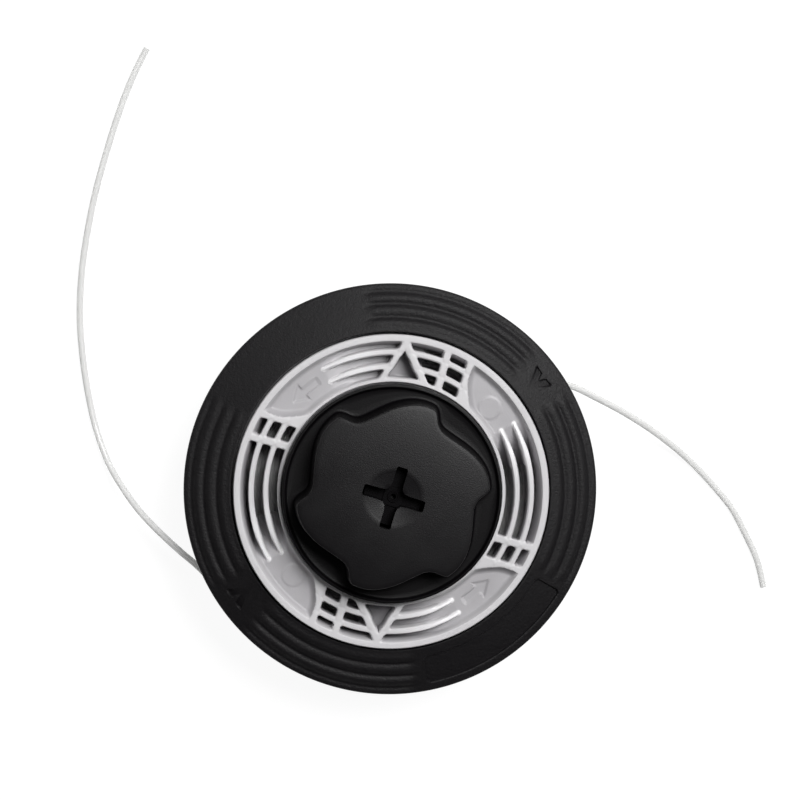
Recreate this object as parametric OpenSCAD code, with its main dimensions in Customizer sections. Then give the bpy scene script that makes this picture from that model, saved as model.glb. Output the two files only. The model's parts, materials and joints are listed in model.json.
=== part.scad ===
// Trimmer head for a grass trimmer, millimetres.
// +Z points from the machine side to the tap knob. The head stands on its hub face at z = 0,
// and the spin axis is the Z axis. Angles are counted from +X, anticlockwise seen from the knob.

/* [Base ring] */
// Outside diameter of the base ring
ring_d = 125; // [118:0.5:132]
// Height of the rounded outer edge of the base ring
ring_edge_h = 3; // [2.5:0.1:4]
// Rise of the sloping face from the outer edge to the bore
ring_rise = 4; // [3:0.1:5]
// Radial thickness of the snap skirt
skirt_t = 1.8; // [1.4:0.1:2.2]
// Places of the three grip ridges of each group, as shares of the way from the bore to the edge
ridge_shares = [0.722, 0.472, 0.201];
// Height of a grip ridge above the sloping face
ridge_h = 0.6; // [0.3:0.05:0.9]
// Depth of the engraved marks and of the bare plate
engrave_depth = 0.5; // [0.3:0.05:0.8]

/* [Housing] */
// Outside diameter of the housing side wall
housing_d = 104.4; // [102.8:0.2:106]
// Thickness of the housing side wall
housing_wall = 2.2; // [1.8:0.1:2.5]
// Outside diameter of the hub boss
hub_d = 38; // [36:0.5:44]
// Height of the hub boss below the housing floor
hub_h = 6; // [4:0.5:9]
// Thickness of the housing floor
floor_t = 3; // [2.4:0.1:4]
// Outside diameter of the guide post
post_d = 17; // [16.4:0.1:17.4]
// Number of stiffening ribs on the machine side
rib_count = 12; // [6:1:24]
// Height of the line outlets above the housing floor
outlet_rise = 13.5; // [12.5:0.1:14.5]
// Angle of the first line outlet, the other is opposite
outlet_angle = 33; // [30:1:36]

/* [Drive thread] */
// Core diameter of the M10 x 1 left-hand thread
thread_core_d = 8.918; // [8.6:0.001:9.2]
// Length of the threaded insert
insert_len = 20; // [14:0.5:22]
// Width across flats of the insert's hexagon
insert_af = 17; // [16:0.5:19]
// Height of the insert's hexagon
insert_hex_h = 6; // [4:0.5:8]
// Diameter of the insert's round shank
insert_shank_d = 13; // [12:0.1:13.6]

/* [Spool] */
// Thickness of the machine-side spool flange
spool_flange_t = 2; // [1.6:0.1:3]
// Outside diameter of the spool barrel
barrel_d = 44; // [43.4:0.1:46]
// Bore of the spool barrel
barrel_bore_d = 39; // [38.8:0.1:39.6]
// Width between the spool flanges
winding_w = 11.5; // [11:0.1:13]
// Thickness of the spool's end web
web_t = 2.5; // [2:0.1:3]
// Outside diameter of the wound line
winding_d = 86; // [60:0.5:88]
// Line diameter
line_d = 2; // [1.6:0.1:2.4]

/* [Spool flange] */
// Height of the spool flange
flange_h = 10; // [9:0.1:11]
// Bore of the spool flange round the knob
flange_bore_d = 66.2; // [65.8:0.1:66.6]
// Thickness of the outer rim of the spool flange
flange_rim_t = 2.2; // [1.6:0.1:2.5]
// Thickness of the inner rim of the spool flange
inner_rim_t = 1.2; // [1:0.1:1.6]
// Radial width of the stop rim below the base ring
stop_rim_w = 2; // [1.6:0.1:2.4]
// Height of the stop rim
stop_rim_h = 3; // [2:0.1:3.2]
// Thickness of the floors, ramps and hub plate
flange_plate_t = 2; // [1.5:0.1:2.5]
// Depth of the smooth floors below the rims
floor_sink = 2.6; // [1.6:0.1:3]
// Places of the two concentric ribs, as shares of the width between the rims
flange_rib_shares = [0.315, 0.708];
// Width of a concentric rib
flange_rib_w = 1.7; // [1.3:0.1:2]
// Width of a crossbar between two windows
crossbar_w = 2.3; // [1.6:0.1:2.8]

/* [Knob] */
// Diameter of the knob's cup rim
knob_d = 65.6; // [65:0.1:65.6]
// Thickness of the knob floor
knob_floor_t = 2.5; // [2:0.1:3]
// Height of the hollow under the knob floor
knob_lift = 2.5; // [1:0.1:3]
// Height of the cup rim above its floor
knob_rim_h = 1; // [0.5:0.1:3]
// Thickness of the cup rim
knob_rim_t = 1; // [0.8:0.1:1.6]
// Largest radius of the lobed grip
lobe_r_max = 28.6; // [27:0.1:29]
// Smallest radius of the lobed grip
lobe_r_min = 24; // [23:0.1:25.5]
// Number of lobes
lobe_count = 6; // [5:1:8]
// Height of the grip's edge above the knob floor
grip_h = 10; // [8:0.1:12]
// How far the foot of the grip stands out from its top edge
grip_draft = 1.5; // [0.5:0.1:2]
// Extra height of the domed top at its centre
dome_h = 1.5; // [0.8:0.1:2.5]
// Wall thickness of the grip
grip_wall = 2.5; // [2:0.1:3]
// Reach of the arms of the cross slot
cross_reach = 9.7; // [8:0.1:11]
// Width of the arms of the cross slot
cross_w = 3; // [2.4:0.1:3.6]
// Depth of the arms of the cross slot
cross_depth = 7.5; // [3:0.1:8]
// Radius of the well over the knob screw
well_r = 3.6; // [3.4:0.1:4.2]

/* [Tap and index mechanism] */
// Travel of the knob when it is tapped
tap_travel = 5; // [4:0.1:5.2]
// Outside diameter of the index sleeve's skirt
sleeve_d = 29.2; // [28.8:0.1:29.4]
// Wall thickness of the sleeve's skirt
sleeve_wall = 2; // [1.6:0.1:2.1]
// Number of index dogs
dog_count = 6; // [4:1:8]
// Height of an index dog
dog_h = 3; // [2.5:0.1:3.5]
// Number of one-way teeth in the spool barrel
ratchet_count = 24; // [18:1:30]
// Height of a one-way tooth
ratchet_h = 1.2; // [1:0.05:1.4]
// Number of one-way pawls
pawl_count = 3; // [2:1:4]
// Wire diameter of the spring
spring_wire_d = 1.4; // [1.2:0.1:1.5]
// Number of turns of the spring
spring_turns = 5; // [4:0.5:5]

/* [Clearances] */
// Running gap between bodies that move on each other
run_gap = 0.3; // [0.25:0.01:0.4]
// Gap round the visible flange in the base ring
ring_gap = 0.6; // [0.4:0.05:0.8]
// Gap between the stop rim of the spool flange and the housing wall
stop_gap = 0.5; // [0.4:0.05:0.8]
// Gap between the machine-side spool flange and the housing wall
spool_gap = 4; // [3:0.1:6]
// Gap of fixed pieces that fit into each other
fit_gap = 0.1; // [0.05:0.01:0.15]
// Spare travel under the spool when it is fully tapped
tap_spare = 0.5; // [0.4:0.05:0.8]

/* [Hidden] */
$fn = 96;
eps = 0.01;
embed = 0.3;

// Heights, from the hub face upwards
floor_top = hub_h + floor_t;
spool_z = floor_top + tap_travel + tap_spare;
winding_z = spool_z + spool_flange_t;
flange_z = winding_z + winding_w;
flange_top = flange_z + flange_h;
stop_top = flange_z + stop_rim_h;
ring_seat_z = stop_top + run_gap;
knob_z = flange_top - 1;
knob_floor_z = knob_z + knob_lift;
knob_floor_top = knob_floor_z + knob_floor_t;
web_z = knob_z - web_t;
washer_t = 2;
washer_top = web_z - run_gap;
sleeve_top = washer_top - washer_t;
post_top = web_z - tap_travel - tap_spare;
outlet_z = floor_top + outlet_rise;
grip_top = knob_floor_top + grip_h;

// Radii shared by pieces that fit together
ring_r = ring_d / 2;
wall_r = housing_d / 2;
wall_in_r = wall_r - housing_wall;
stop_r = wall_in_r - stop_gap;
flange_r = stop_r - stop_rim_w;
ring_bore_r = flange_r + ring_gap;
spool_r = wall_in_r - spool_gap;
post_r = post_d / 2;
hub_r = hub_d / 2;
barrel_r = barrel_d / 2;
barrel_bore_r = barrel_bore_d / 2;
sleeve_r = sleeve_d / 2;
sleeve_in_r = sleeve_r - sleeve_wall;
guide_in_r = post_r + run_gap;
guide_t = 2.2;
guide_out_r = guide_in_r + guide_t;
insert_shank_r = insert_shank_d / 2;
insert_hex_r = insert_af / 2 / cos(30);

// Base ring
ring_foot_drop = 2.3;
ring_foot_z = ring_seat_z - ring_foot_drop;
ring_edge_z = ring_foot_z + ring_edge_h;
ring_top_z = ring_edge_z + ring_rise;
edge_round = 0.9;
lip_share = 0.19;
lip_recess = 0.8;
skirt_in_r = wall_r + fit_gap;
skirt_r = skirt_in_r + skirt_t;
skirt_h = 2.8;
brim_w = ring_r - skirt_r;
fillet_share = 0.12;
brim_fillet = fillet_share * brim_w;
lip_t = lip_share * brim_w;
tab_count = 6;
tab_w = 8;
tab_drop = 7;
hook_h = 3;
gusset_count = 24;
gusset_t = 1.2;
ring_face_w = ring_r - ring_bore_r;
ridge_radii = [for (share = ridge_shares) face_r(share)];
ridge_groups = [[-27, 28], [44, 97], [153, 208], [224, 277]];
plate_angles = [281, 329];
plate_shares = [0.222, 0.813];
mark_angles = [36, 216];
mark_tip_share = 0.313;
mark_notch_share = 0.59;
mark_end_share = 0.764;
mark_half_w = 4;
mark_gap_half_w = 1.5;

// Line outlets and eyelets
outlet_r = 5.5;
outlet_out = 1;
eyelet_bore_r = 1.8;
eyelet_shank_r = 3.2;
eyelet_head_r = 4.6;
eyelet_head_t = 1.1;

// Index mechanism
crown_r = barrel_bore_r - run_gap - fit_gap;
crown_wall = 2;
crown_in_r = crown_r - crown_wall;
crown_h = 11.5;
tooth_inset = 0.4;
dog_r = crown_in_r - run_gap;
dog_drop = 5.5;
dog_z = floor_top + crown_h - dog_drop;
tooth_tip_r = sleeve_r + run_gap + fit_gap;
dog_angle = 12;
rest_tooth_angle = 10;
play_angle = 1.1;
ledge_rise = 15;
ledge_z = floor_top + ledge_rise;
ledge_t = 2;
seat_t = 1;
pawl_z = ledge_z + ledge_t;
ratchet_tip_r = barrel_bore_r - ratchet_h;
ratchet_lift = 0.5;
ratchet_z = pawl_z + ratchet_lift;
ratchet_len = 3.5;
pawl_tip_r = ratchet_tip_r - run_gap;

// Knob screw
screw_r = 2.4;
screw_head_r = 3.2;
screw_head_h = 2.4;
screw_socket_r = 1.5;
spigot_r = 5.5;
spigot_h = 6;
tube_r = 8.6;
cap_t = 1.6;
screw_seat_z = knob_z + spigot_h + run_gap + cap_t;
screw_washer_t = 0.6;
screw_len = 10;

// Visible spool flange: plan of one quarter, angles from its curved end wall
flange_bore_r = flange_bore_d / 2;
rim_in_r = flange_r - flange_rim_t;
inner_rim_r = flange_bore_r + inner_rim_t;
quarter_starts = [57, 147, 237, 327];
floor_z = flange_top - floor_sink;
land_z = flange_top - 0.05;
crossbar_z = flange_top - 0.1;
triangle_z = flange_top - 0.15;
flange_rib_z = flange_top - 0.2;
root = 0.6;
land_outer_end = 3.2;
land_inner_end = -1.5;
wall_sweep = 12;
wall_power = 2.6;
crossbar_outer = 11.3;
crossbar_inner = 9;
ramp_starts = [44, 20.5];
ramp_end = 62;
rib_end = 61.5;
ramp_lows = [flange_z + flange_plate_t + 0.3, flange_z + 5];
grid_depth = 7.2;
quarter = 90;
wall_lap = 0.5;
ramp_steps = 15;

function polar(r, a) = [r * cos(a), r * sin(a)];
function smooth(t) = t * t * (3 - 2 * t);
function face_r(share) = ring_bore_r + share * ring_face_w;
function ring_face_z(r) = ring_top_z - ring_rise * (r - ring_bore_r) / (ring_face_w - edge_round);

// A block bent round the Z axis
module ring_sector(r0, r1, z0, z1, a0, a1) {
    rotate([0, 0, a0])
        rotate_extrude(angle = a1 - a0)
            translate([r0, z0])
                square([r1 - r0, z1 - z0]);
}

module tube(r_out, r_in, z0, z1) {
    translate([0, 0, z0])
        difference() {
            cylinder(r = r_out, h = z1 - z0);
            translate([0, 0, -1])
                cylinder(r = r_in, h = z1 - z0 + 2);
        }
}

// Black housing with hub, guide post, floor, side wall and line outlets
module upper_housing() {
    hub_edge = 1;
    corner = 5;
    color([0.10, 0.10, 0.11])
        difference() {
            union() {
                rotate_extrude()
                    polygon([[0, 0], [hub_r - hub_edge, 0], [hub_r, hub_edge], [hub_r, hub_h],
                             [wall_r - corner, hub_h + 0.6], [wall_r - 1.4, hub_h + 2],
                             [wall_r, hub_h + corner], [wall_r, ring_seat_z],
                             [wall_in_r, ring_seat_z], [wall_in_r, floor_top + 2],
                             [wall_in_r - 2, floor_top], [post_r, floor_top], [post_r, post_top],
                             [0, post_top]]);
                for (i = [0 : rib_count - 1])
                    rotate([0, 0, (i + 0.5) * 360 / rib_count])
                        housing_rib();
                for (a = [outlet_angle, outlet_angle + 180])
                    rotate([0, 0, a])
                        translate([wall_in_r + 0.5, 0, outlet_z])
                            rotate([0, 90, 0])
                                cylinder(r = outlet_r, h = housing_wall - 0.5 + outlet_out);
            }
            insert_pocket();
            for (a = [outlet_angle, outlet_angle + 180])
                rotate([0, 0, a])
                    translate([wall_in_r - 1, 0, outlet_z])
                        rotate([0, 90, 0])
                            cylinder(r = eyelet_shank_r + fit_gap, h = housing_wall + outlet_out + 2);
            for (i = [0 : tab_count - 1])
                rotate([0, 0, tab_angle(i)])
                    translate([wall_in_r - 1, -tab_w / 2 - fit_gap, hook_z() - fit_gap])
                        cube([housing_wall + 2, tab_w + 2 * fit_gap, hook_h + 3 * fit_gap]);
        }
}

function tab_angle(i) = outlet_angle + (i + 0.5) * 360 / tab_count;
function hook_z() = ring_seat_z - skirt_h - tab_drop + 0.6;

// A rib that tapers from the hub to the corner of the housing
module housing_rib() {
    rib_t = 2;
    rotate([90, 0, 0])
        translate([0, 0, -rib_t / 2])
            linear_extrude(rib_t)
                polygon([[hub_r - 1, 2], [hub_r + 3, 2.4], [wall_r - 5, hub_h - 0.8],
                         [wall_r - 4, hub_h + 1], [hub_r - 1, hub_h + 1]]);
}

// Pocket and bore for the drive insert and the end of the machine's shaft
module insert_pocket() {
    shaft_room_r = thread_core_d / 2 + 0.8;
    translate([0, 0, -1])
        rotate([0, 0, 30])
            cylinder(r = insert_hex_r + fit_gap, h = insert_hex_h + 1, $fn = 6);
    translate([0, 0, -1])
        cylinder(r = insert_shank_r + fit_gap, h = insert_len + 1);
    translate([0, 0, insert_len - 1])
        cylinder(r = shaft_room_r, h = post_top);
}

// Threaded steel insert that screws onto the machine's shaft
module drive_insert() {
    chamfer = 0.8;
    color([0.62, 0.63, 0.65])
        difference() {
            union() {
                rotate([0, 0, 30])
                    cylinder(r = insert_hex_r, h = insert_hex_h, $fn = 6);
                cylinder(r = insert_shank_r, h = insert_len);
            }
            translate([0, 0, -1])
                cylinder(r = thread_core_d / 2, h = insert_len + 2);
            translate([0, 0, -eps])
                cylinder(r1 = thread_core_d / 2 + chamfer, r2 = thread_core_d / 2, h = chamfer);
        }
}

// Ring with the rest row and the tapped row of index teeth, fixed on the housing floor
module index_crown() {
    pitch = 360 / dog_count;
    color([0.80, 0.78, 0.70])
        union() {
            tube(crown_r, crown_in_r, floor_top, floor_top + crown_h);
            for (i = [0 : dog_count - 1]) {
                rest_a = i * pitch + dog_angle / 2 + play_angle;
                tapped_a = i * pitch + (pitch + dog_angle) / 2;
                ring_sector(tooth_tip_r, crown_in_r + embed, dog_z, floor_top + crown_h - tooth_inset,
                            rest_a, rest_a + rest_tooth_angle);
                ring_sector(tooth_tip_r, crown_in_r + embed, floor_top + tooth_inset,
                            floor_top + dog_h + 1, tapped_a, tapped_a + rest_tooth_angle);
            }
        }
}

module lower_spring_seat() {
    color([0.70, 0.71, 0.73])
        tube(sleeve_in_r - run_gap, post_r + fit_gap, floor_top, floor_top + seat_t);
}

module upper_spring_seat() {
    color([0.70, 0.71, 0.73])
        tube(sleeve_in_r - fit_gap, guide_in_r, ledge_z - seat_t, ledge_z);
}

// Compression spring round the guide post, with closed end turns
module spring() {
    sides = 8;
    steps = 16;
    wire_r = spring_wire_d / 2;
    coil_r = (post_r + sleeve_in_r) / 2;
    z0 = floor_top + seat_t + wire_r + fit_gap / 2;
    z1 = ledge_z - seat_t - wire_r - fit_gap;
    rings = spring_turns * steps;
    rise = function(t) z0 + (z1 - z0) * (t < 0.1 ? 0.35 * t : t > 0.9 ? 1 - 0.35 * (1 - t)
                                         : 0.035 + (t - 0.1) * 0.93 / 0.8);
    points = [for (i = [0 : rings], j = [0 : sides - 1])
                  let (a = 360 * i / steps, b = -360 * j / sides, r = coil_r + wire_r * cos(b))
                  [r * cos(a), r * sin(a), rise(i / rings) + wire_r * sin(b)]];
    color([0.60, 0.61, 0.63])
        polyhedron(points, sweep_faces(rings + 1, sides));
}

// Faces of a closed tube whose rings have the same number of sides
function sweep_faces(rings, sides) = concat(
    [[for (j = [0 : sides - 1]) j]],
    [for (i = [0 : rings - 2], j = [0 : sides - 1])
        [i * sides + j, (i + 1) * sides + j, (i + 1) * sides + (j + 1) % sides,
         i * sides + (j + 1) % sides]],
    [[for (j = [sides - 1 : -1 : 0]) (rings - 1) * sides + j]]);

// Turned metal eyelet with a head on both sides of the wall
module eyelet(angle) {
    face_r = wall_r + outlet_out;
    flare = 0.7;
    inner_x = wall_in_r + fit_gap;
    color([0.78, 0.79, 0.81])
        rotate([0, 0, angle])
            translate([0, 0, outlet_z])
                rotate([0, 90, 0])
                    rotate_extrude()
                        polygon([[eyelet_bore_r + flare, inner_x], [eyelet_shank_r, inner_x],
                                 [eyelet_shank_r, face_r],
                                 [eyelet_head_r - 0.3, face_r], [eyelet_head_r, face_r + 0.3],
                                 [eyelet_head_r, face_r + eyelet_head_t - 0.3],
                                 [eyelet_head_r - 0.3, face_r + eyelet_head_t],
                                 [eyelet_bore_r + flare, face_r + eyelet_head_t],
                                 [eyelet_bore_r + flare / 3, face_r + eyelet_head_t - flare / 2],
                                 [eyelet_bore_r, face_r + eyelet_head_t - 1.2 * flare],
                                 [eyelet_bore_r, inner_x + flare]]);
}

// Black ring that snaps over the side wall and holds the spool in
module base_ring() {
    color([0.07, 0.07, 0.08])
        difference() {
            union() {
                rotate_extrude()
                    polygon(ring_profile());
                tube(skirt_r, skirt_in_r, ring_seat_z - skirt_h, ring_seat_z + embed);
                for (i = [0 : gusset_count - 1])
                    rotate([0, 0, outlet_angle + (i + 0.5) * 360 / gusset_count])
                        ring_gusset();
                for (i = [0 : tab_count - 1])
                    rotate([0, 0, tab_angle(i)])
                        snap_tab();
                for (group = ridge_groups, r = ridge_radii)
                    grip_ridge(r, group[0], group[1]);
            }
            for (a = mark_angles)
                rotate([0, 0, a])
                    ring_mark();
            bare_plate();
        }
}

function ring_profile() = [
    [ring_bore_r, ring_seat_z], [ring_bore_r, ring_top_z - 0.4],
    [ring_bore_r + 0.4, ring_face_z(ring_bore_r + 0.4)],
    [ring_r - edge_round, ring_edge_z],
    for (a = [60 : -30 : 0])
        [ring_r - edge_round + edge_round * cos(a), ring_edge_z - edge_round + edge_round * sin(a)],
    [ring_r, ring_foot_z], [ring_r - lip_t, ring_foot_z], [ring_r - lip_t, ring_foot_z + lip_recess],
    [skirt_r + brim_fillet, ring_seat_z], [skirt_in_r, ring_seat_z]];

module ring_gusset() {
    foot_z = ring_seat_z - skirt_h + 0.4;
    gusset_in_r = skirt_r - 0.6;
    gusset_foot_r = skirt_r + brim_fillet / 2 + 0.1;
    gusset_end_r = ring_r - lip_t / 2 - 0.2;
    rotate([90, 0, 0])
        translate([0, 0, -gusset_t / 2])
            linear_extrude(gusset_t)
                polygon([[gusset_in_r, foot_z], [gusset_foot_r, foot_z], [gusset_end_r, ring_foot_z + 0.3],
                         [gusset_end_r, ring_foot_z + 1], [skirt_r + brim_fillet, ring_seat_z + 0.5],
                         [gusset_in_r, ring_seat_z + 0.5]]);
}

// Spring tab whose hook catches in a window of the housing wall
module snap_tab() {
    hook_depth = 1.6;
    translate([skirt_in_r, -tab_w / 2 + fit_gap, ring_seat_z - skirt_h - tab_drop])
        cube([skirt_t - 0.2, tab_w - 2 * fit_gap, tab_drop + 1]);
    rotate([90, 0, 0])
        translate([0, 0, -tab_w / 2 + fit_gap])
            linear_extrude(tab_w - 2 * fit_gap)
                polygon([[skirt_in_r + embed, hook_z() - 0.4],
                         [skirt_in_r - hook_depth, hook_z() + hook_h - 0.8],
                         [skirt_in_r - hook_depth, hook_z() + hook_h],
                         [skirt_in_r + embed, hook_z() + hook_h]]);
}

// Soft raised ridge, round in section, with round ends
module grip_ridge(r, a0, a1) {
    bead_r = 1.5;
    z = ring_face_z(r) - bead_r + ridge_h;
    rotate([0, 0, a0])
        rotate_extrude(angle = a1 - a0)
            translate([r, z])
                circle(r = bead_r, $fn = 32);
    for (a = [a0, a1])
        rotate([0, 0, a])
            translate([r, 0, z])
                sphere(r = bead_r - 0.03, $fn = 32);
}

// Engraved V with broad arms that points to the spin axis
module ring_mark() {
    tip = face_r(mark_tip_share);
    arm = face_r(mark_end_share) - tip;
    notch = face_r(mark_notch_share) - tip;
    slope = atan(ring_rise / (ring_face_w - edge_round));
    translate([tip, 0, ring_face_z(tip) - engrave_depth])
        rotate([0, slope, 0])
            linear_extrude(engrave_depth + 2)
                polygon([[0, 0], [arm, mark_half_w], [arm, mark_gap_half_w],
                         [notch, 0], [arm, -mark_gap_half_w], [arm, -mark_half_w]]);
}

// Shallow plate area that follows the slope of the ring
module bare_plate() {
    r0 = face_r(plate_shares[0]);
    r1 = face_r(plate_shares[1]);
    rotate([0, 0, plate_angles[0]])
        rotate_extrude(angle = plate_angles[1] - plate_angles[0])
            polygon([[r0, ring_face_z(r0) - engrave_depth], [r1, ring_face_z(r1) - engrave_depth],
                     [r1, ring_face_z(r0) + 2], [r0, ring_face_z(r0) + 2]]);
}

// Sprung sleeve that slides on the guide post and carries the index dogs
module index_sleeve() {
    pitch = 360 / dog_count;
    lead_in = 0.4;
    color([0.85, 0.83, 0.76])
        union() {
            rotate_extrude()
                polygon([[sleeve_in_r, dog_z - lead_in], [sleeve_r, dog_z - lead_in],
                         [sleeve_r, ledge_z + ledge_t],
                         [guide_out_r, ledge_z + ledge_t], [guide_out_r, sleeve_top],
                         [guide_in_r, sleeve_top], [guide_in_r, ledge_z], [sleeve_in_r, ledge_z]]);
            for (i = [0 : dog_count - 1])
                ring_sector(sleeve_r - embed, dog_r, dog_z, dog_z + dog_h,
                            i * pitch - dog_angle / 2, i * pitch + dog_angle / 2);
        }
}

// Ring of springy one-way pawls, shown flexed in as they pass over the tooth tips
module pawl_ring() {
    hub_t = 1.6;
    arm_t = 1.1;
    arm_sweep = 70;
    arm_steps = 14;
    hub_out_r = guide_out_r + fit_gap + hub_t;
    tip_r = pawl_tip_r - arm_t;
    arm_r = function(t) hub_out_r - 0.3 + (tip_r - hub_out_r + 0.3) * smooth(t);
    color([0.88, 0.86, 0.80])
        union() {
            tube(hub_out_r, guide_out_r + fit_gap, pawl_z, sleeve_top);
            for (i = [0 : pawl_count - 1])
                rotate([0, 0, i * 360 / pawl_count])
                    translate([0, 0, ratchet_z])
                        linear_extrude(ratchet_len)
                            polygon(concat(
                                [for (k = [0 : arm_steps])
                                    polar(arm_r(k / arm_steps), arm_sweep * k / arm_steps)],
                                [for (k = [arm_steps : -1 : 0])
                                    polar(arm_r(k / arm_steps) + arm_t, arm_sweep * k / arm_steps)]));
        }
}

module thrust_washer() {
    color([0.66, 0.67, 0.70])
        tube(ratchet_tip_r - run_gap, guide_in_r, sleeve_top, washer_top);
}

// Spool barrel with machine-side flange, one-way teeth, end web and screw spigot
module spool() {
    hole_r = 3.4;
    hole_pcr = 34;
    hole_count = 8;
    notch_w = 3;
    tooth_pitch = 360 / ratchet_count;
    color([0.12, 0.12, 0.13])
        difference() {
            union() {
                rotate_extrude()
                    polygon([[barrel_bore_r, spool_z], [spool_r - 0.6, spool_z],
                             [spool_r, spool_z + 0.6], [spool_r, winding_z - 0.6],
                             [spool_r - 0.6, winding_z], [barrel_r, winding_z],
                             [barrel_r, knob_z], [spigot_r, knob_z], [spigot_r, knob_z + spigot_h],
                             [0, knob_z + spigot_h], [0, web_z], [barrel_bore_r, web_z]]);
                for (i = [0 : ratchet_count - 1])
                    rotate([0, 0, i * tooth_pitch])
                        translate([0, 0, ratchet_z])
                            linear_extrude(ratchet_len)
                                polygon([polar(ratchet_tip_r, 0), polar(barrel_bore_r + embed, 0),
                                         polar(barrel_bore_r + embed, tooth_pitch * 0.85),
                                         polar(barrel_bore_r, tooth_pitch * 0.85)]);
            }
            translate([0, 0, web_z - 1])
                cylinder(r = screw_r + fit_gap / 2, h = spigot_h + web_t + 2);
            for (i = [0 : hole_count - 1])
                rotate([0, 0, i * 360 / hole_count])
                    translate([hole_pcr, 0, spool_z - 1])
                        cylinder(r = hole_r, h = spool_flange_t + 2);
            for (a = [0, 180])
                rotate([0, 0, a])
                    translate([spool_r - 4, -notch_w / 2, spool_z - 1])
                        cube([6, notch_w, spool_flange_t + 2]);
        }
}

// Light ring on the knob side of the spool: windows, ribs and helical line ramps
module spool_flange() {
    bore_r = barrel_r + fit_gap;
    ledge_r = flange_bore_r - 2.1;
    color([0.80, 0.80, 0.80])
        union() {
            rotate_extrude()
                polygon([[rim_in_r, flange_z], [stop_r, flange_z], [stop_r, stop_top - 0.4],
                         [stop_r - 0.4, stop_top], [flange_r, stop_top],
                         [flange_r, flange_top - 0.4], [flange_r - 0.4, flange_top],
                         [rim_in_r + 0.3, flange_top], [rim_in_r, flange_top - 0.3]]);
            rotate_extrude()
                polygon([[bore_r, flange_z], [inner_rim_r, flange_z],
                         [inner_rim_r, flange_top - 0.3], [inner_rim_r - 0.3, flange_top],
                         [flange_bore_r + 0.3, flange_top], [flange_bore_r, flange_top - 0.3],
                         [flange_bore_r, knob_z], [ledge_r, knob_z],
                         [ledge_r, flange_z + flange_plate_t], [bore_r, flange_z + flange_plate_t]]);
            for (i = [0 : 3])
                rotate([0, 0, quarter_starts[i]])
                    flange_quarter(i % 2 == 0);
        }
}

// One quarter of the visible ring: land, window grid, ramp, ribs and smooth floor
module flange_quarter(with_triangle) {
    grid_z = flange_top - grid_depth;
    land_foot = 0.2;
    arc_step = 4;
    floor_start = quarter - wall_sweep;
    translate([0, 0, floor_z - flange_plate_t + land_foot])
        linear_extrude(land_z - floor_z + flange_plate_t - land_foot)
            polygon(concat(end_wall(0), [polar(rim_in_r + root, land_outer_end),
                                         polar(inner_rim_r - root, land_inner_end)]));
    translate([0, 0, floor_z - flange_plate_t])
        linear_extrude(flange_plate_t)
            polygon(concat(end_wall(quarter + wall_lap),
                           [for (a = [quarter : -arc_step : ramp_end]) polar(rim_in_r + root, a)],
                           [for (a = [ramp_end : arc_step : floor_start]) polar(inner_rim_r - root, a)]));
    crossbar(grid_z);
    difference() {
        for (share = flange_rib_shares)
            flange_rib(inner_rim_r + share * (rim_in_r - inner_rim_r), rib_end, grid_z);
        if (with_triangle)
            translate([0, 0, grid_z - 1])
                linear_extrude(flange_h)
                    offset(delta = root)
                        polygon(triangle_hole);
    }
    line_ramp(ramp_starts[with_triangle ? 1 : 0], ramp_lows[with_triangle ? 1 : 0]);
    if (with_triangle) {
        triangle_bars(grid_z);
        floor_arrow();
    } else {
        floor_disc();
    }
}

// Plan of the curved end wall, from the inner rim to the outer rim
function end_wall(turn) = [
    for (t = [0 : 0.125 : 1])
        let (r = inner_rim_r - root + t * (rim_in_r - inner_rim_r + 2 * root))
        polar(r, turn - wall_sweep * pow(1 - t, wall_power))];

// Straight bar from the inner to the outer rim
module crossbar(z0) {
    p0 = polar(inner_rim_r - root, crossbar_inner);
    p1 = polar(rim_in_r + root, crossbar_outer);
    d = p1 - p0;
    translate([p0[0], p0[1], z0])
        rotate([0, 0, atan2(d[1], d[0])])
            translate([0, -crossbar_w / 2, 0])
                cube([norm(d), crossbar_w, crossbar_z - z0]);
}

// Concentric rib with bevelled edges and a round end
module flange_rib(r, end_angle, z0) {
    half = flange_rib_w / 2;
    bevel = 0.3;
    rotate_extrude(angle = end_angle)
        translate([r, 0])
            polygon([[-half, z0], [half, z0], [half, flange_rib_z - bevel], [half - bevel, flange_rib_z],
                     [bevel - half, flange_rib_z], [-half, flange_rib_z - bevel]]);
    rotate([0, 0, end_angle])
        translate([r, 0, floor_z - 1])
            cylinder(r = half - 0.03, h = flange_rib_z - bevel - floor_z + 1, $fn = 32);
    rotate([0, 0, end_angle])
        translate([r, 0, flange_rib_z - bevel - eps])
            cylinder(r1 = half - 0.03, r2 = half - bevel, h = bevel - eps, $fn = 32);
}

// Helical ramp that lifts the line from the winding to the smooth floor
module line_ramp(ramp_start, ramp_low_z) {
    step_down = 0.03;
    r0 = inner_rim_r - root;
    r1 = rim_in_r + root;
    top = function(t) ramp_low_z + (floor_z - step_down - ramp_low_z) * t;
    section = function(t) [[r0, top(t) - flange_plate_t], [r0, top(t)],
                           [r1, top(t)], [r1, top(t) - flange_plate_t]];
    points = [for (k = [0 : ramp_steps], c = section(k / ramp_steps))
                  let (a = ramp_start + (ramp_end - ramp_start) * k / ramp_steps)
                  [c[0] * cos(a), c[0] * sin(a), c[1]]];
    polyhedron(points, sweep_faces(ramp_steps + 1, 4));
}

// Corners of the open triangle, from its base on the inner rim to its tip
triangle_hole = [polar(inner_rim_r + 0.2, 19.4), polar(inner_rim_r + 0.2, 35.6), polar(rim_in_r - 2.5, 27.8)];

// Frame of the triangle beside the windows
module triangle_bars(z0) {
    translate([0, 0, z0])
        linear_extrude(triangle_z - z0)
            difference() {
                polygon([for (a = [13.5, 22.5, 31.5, 40.6]) polar(inner_rim_r - root, a),
                         polar(rim_in_r + root, 28.4), polar(rim_in_r + root, 26.6)]);
                polygon(triangle_hole);
            }
}

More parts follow.
